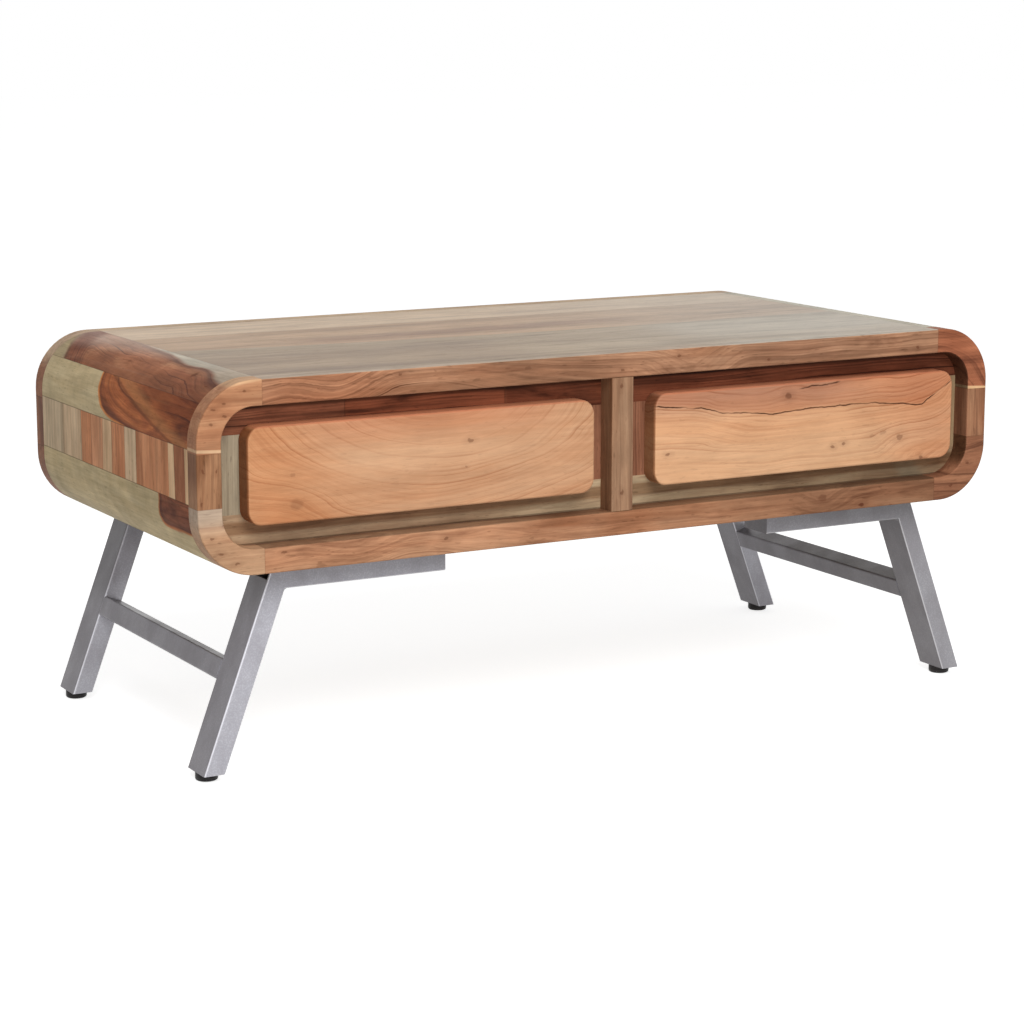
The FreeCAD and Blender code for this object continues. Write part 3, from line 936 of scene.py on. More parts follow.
    def figured(self, cut: WoodCut, moved: Wire, distance: Value, rings: Value,
                tones: tuple[Paint, Paint, Paint]) -> Socket:
        """Draw the wood's blush, figure and rings.

        Args:
            cut: The cut of wood.
            moved: The point shifted board by board.
            distance: The distance that the rings follow.
            rings: Mask of the ring lines.
            tones: Pale, dark and blush colours.

        Returns:
            The figured colour.
        """
        desk = self.desk
        pale, dark, blush = tones
        bands = desk.noise_line(desk.math("DIVIDE", distance, cut.ring_gap * self.ZONE_RINGS), 1.0, 2.0)
        scale = cut.figure_scale
        figure = desk.noise(self.spot(cut, scale * self.FIGURE_ALONG, scale, moved), *self.FIGURE_NOISE)
        patches = desk.math("MULTIPLY", desk.span(figure, *self.FIGURE_BLUSH), 1.0 - cut.banding)
        tint = desk.math("MULTIPLY_ADD", desk.span(bands, *self.ZONE_SPAN), cut.banding, patches)
        colour = desk.mix(desk.math("MULTIPLY", tint, cut.blush), pale, blush)
        colour = desk.mix(desk.span(figure, *self.FIGURE_DARK, 0.0, cut.figure), colour, dark)
        share = self.SAPWOOD_RINGS if cut.heart is not None else 1.0
        return desk.mix(desk.math("MULTIPLY", rings, share), colour, dark)

    def draw(self, cut: WoodCut) -> Painted:
        """Draw one cut of wood.

        Args:
            cut: The wood's colours, rings and marks.

        Returns:
            Its colour and its relief.
        """
        desk = self.desk
        pale, dark, blush, moved, seam = self.boards(cut)
        distance, shade = self.ring_distance(cut, self.bend(cut, moved))
        rings = self.rings(cut, distance)
        colour = self.figured(cut, moved, distance, rings, (pale, dark, blush))
        for crack in cut.cracks:
            colour = self.cracked(cut, crack, colour)
        if cut.heart is not None:
            colour = self.heartwood(cut, distance, rings, colour)
        for zone in cut.zones:
            colour = self.zoned(zone, colour)
        colour = self.weathered(cut, moved, dark, colour)
        fibre = desk.noise(self.spot(cut, *self.FIBRE_SCALES, moved), 3.0, 0.65)
        light = desk.span(fibre, *self.FIBRE_SPAN, 1.0 - cut.fibres, 1.0 + cut.fibres * self.FIBRE_LIFT)
        colour = desk.lightened(colour, light)
        pores = desk.span(desk.noise(self.spot(cut, *self.PORE_SCALES, moved)), *self.PORE_SPAN)
        colour = desk.mix(desk.math("MULTIPLY", pores, cut.pores), colour, self.PORE_BROWN, Blend.SHADE)
        fleck = desk.noise(self.spot(cut, *self.FLECK_SCALES, moved))
        flecks = desk.span(fleck, *self.FLECK_SPAN, 0.0, cut.flecks)
        colour = desk.mix(flecks, colour, self.FLECK_BROWN, Blend.SHADE)
        colour = desk.mix(shade, colour, self.KNOT_BROWN)
        if cut.painted_side_shade is not None:
            colour = self.painted_side_shaded(cut.painted_side_shade, colour)
        if cut.bands:
            colour = desk.mix(desk.math("MULTIPLY", seam, self.SEAM_STRENGTH), colour, self.SEAM_BROWN)
        return Painted(colour, desk.math("SUBTRACT", fibre, desk.math("ADD", pores, shade)))


@dataclass(frozen=True)
class WoodFinish:
    """Oiled, lightly sheened wood from one cut, or from a second cut above a height."""

    name: str
    cut: WoodCut
    upper: Optional[WoodCut] = None
    split_z: float = 0.0
    roughness: float = 0.5
    gloss: float = 0.06
    upper_gloss: float = 0.03
    rough_valley: float = 0.14
    smooth_crest: float = 0.06
    relief_range: tuple[float, float] = (-0.6, 1.0)
    relief_strength: float = 0.3
    relief_depth: float = 0.00012
    joint: Limits = (0.0001, 0.0005, 0.5, 0.0)

    def make(self) -> bpy.types.Material:
        """Build the finish.

        Returns:
            The finish as a material.
        """
        desk = NodeDesk(self.name)
        painter = WoodPainter(desk)
        painted = painter.draw(self.cut)
        colour, relief = painted.colour, painted.relief
        gloss: Value = self.gloss
        if self.upper is not None:
            over = painter.draw(self.upper)
            z = desk.parts(painter.point)[2]
            mask = desk.math("GREATER_THAN", z, self.split_z)
            colour = desk.mix(mask, colour, over.colour)
            below = desk.math("MULTIPLY", relief, desk.math("SUBTRACT", 1.0, mask))
            relief = desk.math("ADD", below, desk.math("MULTIPLY", over.relief, mask))
            gloss = desk.math("MULTIPLY_ADD", mask, self.upper_gloss - self.gloss, self.gloss)
            gap = desk.math("ABSOLUTE", desk.math("SUBTRACT", z, self.split_z))
            colour = desk.mix(desk.span(gap, *self.joint), colour, painter.SEAM_BROWN)
        rough = desk.span(relief, *self.relief_range, self.roughness + self.rough_valley,
                          self.roughness - self.smooth_crest)
        looks = {"Base Color": colour, "Roughness": rough, "Specular IOR Level": gloss}
        return desk.surface(looks, relief, self.relief_strength, self.relief_depth)


@dataclass(frozen=True)
class Shade:
    """A painted shade that grows along a direction, from a start to an end."""

    normal: Point
    start: float
    end: float
    colour: Rgb


@dataclass(frozen=True)
class PlainFinish:
    """A sprayed, moulded or plated surface with fine speckle and soft clouds."""

    name: str
    base: Rgb
    speckle: Rgb
    metallic: float
    roughness: float
    speckle_scale: float
    cloud: Optional[Rgb] = None
    relief_depth: float = 0.00005
    relief_strength: float = 0.4
    gloss: float = 0.2
    # Painted shade on the side faces and a painted highlight on the rounded edges
    side_shade: Optional[Rgb] = None
    painted_edge_highlight: Optional[Rgb] = None
    shades: tuple[Shade, ...] = ()
    cloud_scales: Point = (22.0, 22.0, 14.0)
    speckle_span: Limits = (0.42, 0.72, 0.0, 0.55)
    cloud_span: Limits = (0.35, 0.68, 0.0, 0.5)
    edge_rise: Limits = (0.4, 0.65, 0.0, 0.7)
    edge_fall: Limits = (0.85, 0.97, 1.0, 0.0)
    rough_range: tuple[float, float] = (0.3, 0.7)
    smoother: float = 0.05
    rougher: float = 0.06

    def sides(self, desk: NodeDesk, normal: Socket, colour: Paint) -> Paint:
        """Paint shade on the side faces and a highlight on the rounded edges, where the finish says so.

        Args:
            desk: The material's node tree.
            normal: The direction that a face looks in.
            colour: Colour under the tints.

        Returns:
            The tinted colour.
        """
        if self.side_shade is None:
            return colour
        facing = desk.math("ABSOLUTE", desk.parts(normal)[1])
        mask = desk.span(facing, *WoodPainter.FACING, 1.0, 0.0)
        colour = desk.mix(mask, colour, self.side_shade, Blend.SHADE)
        if self.painted_edge_highlight is None:
            return colour
        rise, fall = (desk.span(facing, *limits) for limits in (self.edge_rise, self.edge_fall))
        edge = desk.math("MULTIPLY", rise, fall)
        return desk.mix(edge, colour, self.painted_edge_highlight)

    def make(self) -> bpy.types.Material:
        """Build the finish.

        Returns:
            The finish as a material.
        """
        desk = NodeDesk(self.name)
        place = desk.add("ShaderNodeTexCoord")
        point = place.outputs["Object"]
        fine = desk.noise(desk.vector("MULTIPLY", point, (self.speckle_scale,) * 3), 3.0, 0.6)
        broad = desk.noise(desk.vector("MULTIPLY", point, self.cloud_scales), 4.0, 0.6)
        colour = desk.mix(desk.span(fine, *self.speckle_span), self.base, self.speckle)
        colour = desk.mix(desk.span(broad, *self.cloud_span), colour, self.cloud or self.speckle)
        colour = self.sides(desk, place.outputs["Normal"], colour)
        for shade in self.shades:
            along = desk.vector("DOT_PRODUCT", point, shade.normal)
            colour = desk.mix(desk.span(along, shade.start, shade.end), colour, shade.colour, Blend.SHADE)
        smoothest, roughest = self.roughness - self.smoother, self.roughness + self.rougher
        rough = desk.span(broad, *self.rough_range, smoothest, roughest)
        looks = {"Base Color": colour, "Metallic": self.metallic, "Specular IOR Level": self.gloss,
                 "Roughness": rough}
        return desk.surface(looks, fine, self.relief_strength, self.relief_depth)


def dress(names: Union[str, list[str]], material: bpy.types.Material) -> None:
    """Give CAD nodes a material.

    Args:
        names: One node or several.
        material: The finish that they get.
    """
    for name in [names] if isinstance(names, str) else names:
        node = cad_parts[name]
        if not node.material_slots:
            node.data.materials.append(material)
        for slot in node.material_slots:
            slot.material = material
        LOG.info("%s: %s", name, material.name)


def dress_cuts(nodes: str, finishes: str, cuts: dict[str, WoodCut]) -> None:
    """Dress CAD nodes, each with its own cut of wood.

    Args:
        nodes: Start of the nodes' names.
        finishes: Start of the finishes' names.
        cuts: The cut for each node, under the rest of its name.
    """
    for name, cut in cuts.items():
        dress(nodes + name, WoodFinish(finishes + name + "_wood", cut).make())


def glue_line(normal: Point, offset: float, strength: float = 0.55) -> Zone:
    """Return the thin dark glue line on a plane."""
    return Zone(normal, offset, 0.0011, (70, 44, 30), strength, 0.5)


def end_line(x: float, strength: float = 0.55) -> Zone:
    """Return the glue line across the width at a place along X."""
    return glue_line(ACROSS, x, strength)


def level_line(z: float, strength: float = 0.55) -> Zone:
    """Return the level glue line at a height."""
    return glue_line(UPWARD, z, strength)


def specks(places: Profile, radius: float, darkness: float = 0.62,
           y: float = FRONT_Y) -> tuple[Knot, ...]:
    """Return small dark specks on an upright face, given by X and Z."""
    return tuple(Knot((x, y, z), radius, darkness) for x, z in places)


@dataclass
class Shell:
    """The glued top, sides, corners and bottom of the carcass."""

    stave_joints: tuple[float, ...] = (-0.2315, -0.2015, -0.1835, -0.0805, -0.0455, -0.0005, 0.0255, 0.0615,
                                       0.0975, 0.1645)
    board_joints: tuple[float, ...] = (-0.0334, 0.1383)
    left_staves: tuple[Tone, ...] = (Tone.STAVE_CREAM, Tone.STAVE_DARK, Tone.STAVE_CREAM, Tone.STAVE_RED,
                                     Tone.STAVE_OLIVE, Tone.STAVE_RED, Tone.STAVE_CREAM, Tone.STAVE_ROSE,
                                     Tone.STAVE_RED, Tone.STAVE_OLIVE, Tone.STAVE_GREY)
    right_staves: tuple[Tone, ...] = (Tone.STAVE_RED, Tone.STAVE_OLIVE, Tone.STAVE_ROSE, Tone.STAVE_GREY,
                                      Tone.STAVE_CREAM, Tone.STAVE_DARK, Tone.STAVE_GREY, Tone.STAVE_OLIVE,
                                      Tone.STAVE_RED, Tone.STAVE_CREAM, Tone.STAVE_ROSE)

    def bands(self, joints: tuple[float, ...], tones: tuple[Tone, ...]) -> tuple[Band, ...]:
        """Return the boards of a glued panel from front to back."""
        return tuple(Band(until, tone) for until, tone in zip((*joints, SHELL_Y), tones))

    def dress_boards(self) -> None:
        """Dress the top boards and the bottom panel."""
        long_reach = (0.035, 0.7, 1.0)
        tones = (Tone.TOP_GREY, Tone.TOP_TAN, Tone.TOP_BEIGE)
        zones = (shaded((-0.042, 1.0, 0.0), 0.0226, 0.045, (206, 190, 180), 0.9, 0.8, (-0.30, 0.20)),
                 # Painted sheen: the right end of the top is paler.
                 Zone(ACROSS, 0.50, 0.60, (216, 209, 196), 0.38, 0.9),
                 # Painted sheen on the front board at the right.
                 Zone(BACKWARD, -0.115, 0.16, (212, 208, 194), 0.28, 0.5, stretch=(0.16, 0.62)),
                 shaded(BACKWARD, -0.17, 0.22, (230, 220, 212), 0.9, 0.6, (-0.60, -0.10)),
                 end_line(SEAM_X), end_line(-SEAM_X))
        top = WoodCut(Grain.ALONG_X, Tone.TOP_GREY, (-0.15, 0.06, 0.30), long_reach, 0.009, 0.4, 0.010,
                      figure=0.3, figure_scale=17.0, clouds=0.08, streaks=0.3, zones=zones,
                      bands=self.bands(self.board_joints, tones), sway=0.008, bow=0.115, seed=1.0)
        dress("top_boards", WoodFinish("top_board_wood", top, roughness=0.38, gloss=0.12).make())
        bottom = WoodCut(Grain.ALONG_X, Tone.OLIVE, (0.1, 0.0, 0.33), long_reach, 0.008, seed=2.0)
        dress("bottom_panel", WoodFinish("bottom_panel_wood", bottom).make())

    def dress_staves(self) -> None:
        """Dress the upright staves of both sides."""
        sides = (("left", -1, self.left_staves, 3.0), ("right", 1, self.right_staves, 4.0))
        for side, sign, tones, seed in sides:
            bands = self.bands(self.stave_joints, tones)
            cut = WoodCut(Grain.ALONG_Z, Tone.STAVE_RED, (sign * 0.50, 0.02, 0.36), (1.0, 0.8, 0.12), 0.009,
                          0.35, 0.008, figure=0.25, smoke=0.6, streaks=0.22, bands=bands,
                          zones=(level_line(STAVE_TOP), level_line(STAVE_BOTTOM)), seed=seed)
            dress(side + "_side_staves", WoodFinish(side + "_stave_wood", cut, gloss=0.02).make())

    def block(self, tone: Tone, heart: Optional[Heart], ring_gap: float, seed: float,
              zones: tuple[Zone, ...] = (), knots: tuple[Knot, ...] = ()) -> WoodCut:
        """Return the wood of one lamination of a corner block.

        Args:
            tone: Colours of the sapwood.
            heart: Its heartwood, if it has any.
            ring_gap: Distance between the rings.
            seed: Offset of its patterns.
            zones: Zones and glue lines on it.
            knots: Knots in it.

        Returns:
            The cut of wood, with its fibres along Y.
        """
        return WoodCut(Grain.ALONG_Y, tone, (0.60, 0.0, 0.36), (1.0, 0.05, 1.0), ring_gap, 0.85, 0.009,
                       figure=0.1, clouds=0.2, smoke=0.5, streaks=0.08, flecks=0.18, heart=heart,
                       zones=zones, knots=knots, seed=seed)

    def dress_corners(self, side: str, upper: WoodCut, lower: WoodCut, low: WoodCut) -> None:
        """Dress the two corner blocks of one side.

        Args:
            side: Left or right.
            upper: Upper lamination of the top block.
            lower: Lower lamination of the top block.
            low: The bottom block.
        """
        top = WoodFinish("top_" + side + "_corner_wood", lower, upper, LAMINATION_Z, roughness=0.42,
                         gloss=0.02)
        dress("top_" + side + "_corner_block", top.make())
        bottom = WoodFinish("bottom_" + side + "_corner_wood", low, gloss=0.02)
        dress("bottom_" + side + "_corner_block", bottom.make())

    def dress_left_corners(self) -> None:
        """Dress the two left corner blocks, with heartwood running into pale sapwood."""
        back_lean = (-0.707, 0.707, 0.0)
        band_lean = (0.0, -0.236, 0.972)
        upper_heart = Heart((((1.0, -0.117, 0.0), -0.4796), (back_lean, 0.519)), 0.028, 0.005, 0.35,
                            (208, 148, 106), (172, 108, 72), (84, 45, 30), (150, 92, 60))
        lower_heart = Heart(((BACKWARD, 0.068), (DOWNWARD, -0.386)), 0.15, 0.0016, 0.7,
                            (232, 146, 88), (186, 107, 65), (98, 52, 34), (232, 146, 82))
        low_heart = Heart(((BACKWARD, -0.148), (DOWNWARD, -0.284)), 0.03, 0.0016, 0.7,
                          (168, 104, 75), (132, 80, 59), (76, 43, 34), (196, 122, 76))
        # Painted reflection: the top of the curve is paler towards the back. Painted shade: the front end is
        # darker.
        sheen = Zone((0.0, 0.04, 1.0), 0.474, 0.016, (214, 190, 172), 0.55, 0.8)
        painted_shade_zone = shaded(BACKWARD, -0.23, 0.24, (208, 192, 184))
        back_end = shaded(back_lean, 0.498, 0.035, (204, 182, 178), 0.9, 0.6)
        olive_end = Zone(back_lean, 0.545, 0.05, (182, 160, 118), 0.9, 0.25)
        knots = (Knot((-0.506, -0.16, 0.458), 0.012, 0.75), Knot((-0.515, 0.02, 0.455), 0.008, 0.4))
        band = Zone(band_lean, 0.432, 0.015, (190, 132, 84), 0.5, 0.8)
        band_edge = Zone(band_lean, 0.423, 0.004, (96, 52, 33), 0.5, 0.6)
        deep = shaded((0.0, -0.222, 0.975), 0.4640, 0.040, (193, 183, 185), 1.0, 0.35)
        upper_zones = (sheen, painted_shade_zone, back_end, olive_end)
        lower_zones = (band, band_edge, deep, level_line(STAVE_TOP))
        upper = self.block(Tone.SAP_GREEN, upper_heart, 0.0058, 5.0, upper_zones, knots)
        lower = self.block(Tone.SAPWOOD, lower_heart, 0.0085, 6.0, lower_zones)
        low = self.block(Tone.SAPWOOD, low_heart, 0.0065, 7.0, (level_line(STAVE_BOTTOM),))
        self.dress_corners("left", upper, lower, low)

    def dress_right_corners(self) -> None:
        """Dress the two right corner blocks."""
        back_heart = Heart((((-1.0, 0.08, 0.0), -0.492), ((0.0, -1.0, 0.0), 0.02)))
        low_heart = Heart((((0.0, -1.0, 0.0), -0.05), (DOWNWARD, -0.290)))
        upper = self.block(Tone.SAP_GREEN, back_heart, 0.0075, 8.0)
        lower = self.block(Tone.HEART_BROWN, None, 0.008, 9.0, (level_line(STAVE_TOP),))
        low = self.block(Tone.SAPWOOD, low_heart, 0.0075, 10.0, (level_line(STAVE_BOTTOM),))
        self.dress_corners("right", upper, lower, low)

    def dress_all(self) -> None:
        """Dress every piece of the shell."""
        self.dress_boards()
        self.dress_staves()
        self.dress_left_corners()
        self.dress_right_corners()


@dataclass
class Rings:
    """The front ring, the centre post and the back ring."""

    # Painted shade on the right stile's inner face.
    inner_painted_shade: Rgb = (206, 200, 200)
    faint: float = 0.22

    def ends(self) -> tuple[Zone, Zone]:
        """Return the faint glue lines at the ends of the front ring's rails."""
        return end_line(-SEAM_X, self.faint), end_line(SEAM_X, self.faint)

    def levels(self) -> tuple[Zone, Zone]:
        """Return the faint glue lines at the ends of the front ring's stiles."""
        return level_line(RING_SEAM_HIGH, self.faint), level_line(RING_SEAM_LOW, self.faint)

    def top_rail_cut(self) -> WoodCut:
        """Return the wood of the front ring's top rail.

        Returns:
            The cut, with broad arcs at the left.
        """
        smoky = shaded(ACROSS, -0.10, 0.16, (216, 212, 210), 0.8, 0.8)
        low_band = shaded(UPWARD, 0.4415, 0.010, (200, 186, 178), 0.9, 0.5, (-0.33, -0.20))
        high_band = shaded(UPWARD, 0.460, 0.012, (218, 206, 198), 0.9, 0.6, (0.08, 0.16))
        dim = shaded(ACROSS, 0.25, 0.15, (226, 222, 222), 0.9, 0.7)
        rusty = shaded(ACROSS, -0.40, 0.16, (240, 222, 213), 0.95, 0.6)
        # Painted sheen: the rail's top face is greyer, and paler towards the right.
        grey_top = Zone(UPWARD, 0.467, 0.003, (188, 170, 150), 0.92, 0.2)
        pale_top = Zone(UPWARD, 0.467, 0.003, (208, 199, 184), 0.7, 0.2, stretch=(0.15, 0.60))
        knots = (Knot((0.10, FRONT_Y, 0.430), 0.018, 0.0), Knot((-0.37, FRONT_Y, 0.452), 0.016, 0.0),
                 *specks(((0.079, 0.457), (-0.299, 0.460)), 0.0040),
                 *specks(((0.209, 0.444), (0.438, 0.445), (-0.001, 0.445)), 0.0034))
        return WoodCut(Grain.ALONG_X, Tone.RAIL_TAN, (-0.281, -0.25, 0.41), (0.317, 0.25, 1.0), 0.0060, 1.0,
                       0.007, arc_half=0.16, banding=0.65, figure=0.6, smoke=0.6, knots=knots, seed=11.0,
                       zones=(*self.ends(), smoky, low_band, high_band, dim, rusty, grey_top, pale_top))

    def bottom_rail_cut(self) -> WoodCut:
        """Return the wood of the front ring's bottom rail.

        Returns:
            The cut, with two knots at the right.
        """
        # Painted shade towards the right end of the rail.
        painted_shade_zone = shaded(ACROSS, 0.42, 0.42, (186, 180, 178))
        lens = shaded((0.03, 0.0, 1.0), 0.2665, 0.014, (200, 182, 172), 0.95, 0.3, (-0.13, -0.03))
        veil = shaded((0.02, 0.0, 1.0), 0.2700, 0.018, (222, 208, 200), 0.9, 0.5, (0.00, 0.14))
        foot = shaded(ACROSS, 0.006, 0.07, (226, 216, 210), 0.95, 0.6)
        knots = (Knot((0.295, FRONT_Y, 0.263), 0.012, 0.5), Knot((0.355, FRONT_Y, 0.249), 0.0055, 0.9),
                 Knot((-0.36, FRONT_Y, 0.262), 0.016, 0.0),
                 *specks(((-0.240, 0.263), (-0.446, 0.267)), 0.0042))
        return WoodCut(Grain.ALONG_X, Tone.RAIL_RUST, (-0.33, -0.25, 0.215), (0.22, 0.25, 1.0), 0.007, 0.7,
                       0.010, arc_half=0.15, banding=0.6, figure=0.6, smoke=0.5, knots=knots, seed=12.0,
                       zones=(*self.ends(), painted_shade_zone, lens, veil, foot),
                       # Painted shade on the rail's top face, in the recess under the drawers.
                       painted_side_shade=PaintedSideShade((212, 220, 222), UPWARD))

    def stile_cuts(self) -> dict[str, WoodCut]:
        """Return the woods of the front ring's two stiles.

        Returns:
            The cuts under the pieces' names.
        """
        shade = shaded((0.94, 0.0, -0.34), -0.643, 0.016, (190, 172, 160), 0.8, 0.7)
        left_specks = specks(((-0.543, 0.367), (-0.527, 0.366), (-0.546, 0.330)), 0.0034)
        return {
            "left_stile": WoodCut(Grain.ALONG_Z, Tone.STILE_BROWN, (-0.58, -0.25, 0.36), (1.0, 0.25, 0.35),
                                  0.006, 0.6, 0.008, knots=left_specks, zones=(*self.levels(), shade),
                                  seed=13.0),
            "right_stile": WoodCut(Grain.ALONG_Z, Tone.STILE_DARK, (0.50, -0.25, 0.36), (1.0, 0.25, 0.2),
                                   # Painted shade on the stile's inner face.
                                   0.006, 0.6, 0.008, painted_side_shade=PaintedSideShade(self.inner_painted_shade, LEFTWARD),
                                   zones=self.levels(), seed=14.0),
        }

    def top_corner_cuts(self) -> dict[str, WoodCut]:
        """Return the woods of the front ring's two top corners.

        Returns:
            The cuts under the pieces' names.
        """
        left_end, right_end = self.ends()
        slant = (0.06, 0.0, 1.0)
        left_cream = Zone(slant, 0.3570, 0.0035, (226, 192, 152), 0.75, 0.4)
        wedge = Zone((-0.14, 0.0, 0.99), 0.5285, 0.005, (216, 178, 138), 0.6, 0.6)
        low_end = shaded(UPWARD, 0.400, 0.024, (236, 228, 226), 0.9, 0.6)
        right_cream = Zone(slant, 0.4195, 0.0035, (226, 186, 140), 0.85, 0.4)
        # Painted shade across the corner near x = 0.5.
        painted_shade_zone = shaded(ACROSS, 0.497, 0.036, (234, 229, 227), 0.9, 0.8)
        dots = ((-0.492, 0.454), (-0.516, 0.441), (-0.529, 0.435), (-0.533, 0.419), (-0.516, 0.427))
        left = WoodCut(Grain.ALONG_X, Tone.CORNER_ORANGE, (-0.62, -0.2, 0.30), (0.1, 0.4, 1.0), 0.006, 0.45,
                       0.006, flecks=0.35, knots=specks(dots, 0.0034),
                       zones=(left_cream, wedge, low_end, left_end, self.levels()[0]), seed=15.0)
        right = WoodCut(Grain.ALONG_X, Tone.CORNER_RED, (0.46, -0.2, 0.36), (0.8, 0.4, 1.0), 0.006, 0.75,
                        # Painted shade on the corner's inner faces.
                        0.008, figure=0.8, painted_side_shade=PaintedSideShade((142, 146, 148), (-0.8, 0.0, -0.6)),
                        zones=(right_cream, painted_shade_zone, right_end), seed=16.0)
        return {"top_left_corner": left, "top_right_corner": right}

    def bottom_corner_cuts(self) -> dict[str, WoodCut]:
        """Return the woods of the front ring's two bottom corners.

        Returns:
            The cuts under the pieces' names.
        """
        left_end, right_end = self.ends()
        low = self.levels()[1]
        grey_end = Zone(UPWARD, 0.320, 0.036, (182, 162, 142), 0.85, 0.8)
        heights = (0.284, 0.294, 0.306)
        scores = tuple(Zone((0.06, 0.0, 1.0), z, 0.0022, (84, 48, 34), 0.55, 0.7) for z in heights)
        dots = ((-0.534, 0.291), (-0.523, 0.273), (-0.504, 0.259), (-0.518, 0.305))
        left = WoodCut(Grain.ALONG_X, Tone.CORNER_CREAM, (-0.62, -0.2, 0.40), (0.1, 0.4, 1.0), 0.006, 0.35,
                       0.006, flecks=0.35, knots=specks(dots, 0.0034), zones=(grey_end, left_end, low),
                       seed=17.0)
        right = WoodCut(Grain.ALONG_X, Tone.CORNER_BROWN, (0.42, -0.2, 0.37), (0.3, 0.4, 1.0), 0.006, 0.6,
                        0.008, knots=specks(((0.523, 0.289), (0.497, 0.262)), 0.0042),
                        # Painted shade on the corner's inner faces.
                        painted_side_shade=PaintedSideShade((157, 157, 150), (-0.94, 0.0, -0.34)),
                        zones=(*scores, right_end, low), seed=18.0)
        return {"bottom_left_corner": left, "bottom_right_corner": right}

    def dress_front(self) -> None:
        """Dress the eight pieces of the front ring and the centre post."""
        rails = {"top_rail": self.top_rail_cut(), "bottom_rail": self.bottom_rail_cut()}
        corners = {**self.top_corner_cuts(), **self.bottom_corner_cuts()}
        dress_cuts("front_ring_", "front_", {**rails, **self.stile_cuts(), **corners})
        post = WoodCut(Grain.ALONG_Z, Tone.POST_TAN, (-0.03, -0.2, 0.36), (1.0, 0.5, 0.05), 0.005, 0.5,
                       0.006, knots=specks(((-0.003, 0.426), (-0.001, 0.296)), 0.0040),
                       # Painted shade on the post's side faces.
                       painted_side_shade=PaintedSideShade((216, 202, 192)), seed=19.0)
        dress("centre_post", WoodFinish("centre_post_wood", post).make())

    def dress_back(self) -> None:
        """Dress the rails, stiles and corners of the back ring."""
        ends = (end_line(-SEAM_X), end_line(SEAM_X))
        levels = (level_line(RING_SEAM_HIGH), level_line(RING_SEAM_LOW))
        pale_top = Zone(UPWARD, 0.455, 0.046, (204, 176, 146), 0.85, 0.5)
        rails = WoodCut(Grain.ALONG_X, Tone.TOP_BEIGE, (0.2, 0.25, 0.30), (0.1, 0.25, 1.0), 0.007, 0.6,
                        0.008, zones=ends, seed=20.0)
        stiles = WoodCut(Grain.ALONG_Z, Tone.CORNER_BROWN, (0.0, 0.25, 0.36), (1.0, 0.25, 0.1), 0.006, 0.6,
                         0.008, zones=levels, seed=21.0)
        corners = WoodCut(Grain.ALONG_X, Tone.CORNER_BROWN, (0.0, 0.2, 0.30), (0.2, 0.4, 1.0), 0.006, 0.6,
                          0.008, zones=(*ends, *levels, pale_top), seed=22.0)
        dress_cuts("back_ring_", "back_ring_", {"rails": rails, "stiles": stiles, "corners": corners})

    def dress_all(self) -> None:
        """Dress both rings and the post."""
        self.dress_front()
        self.dress_back()


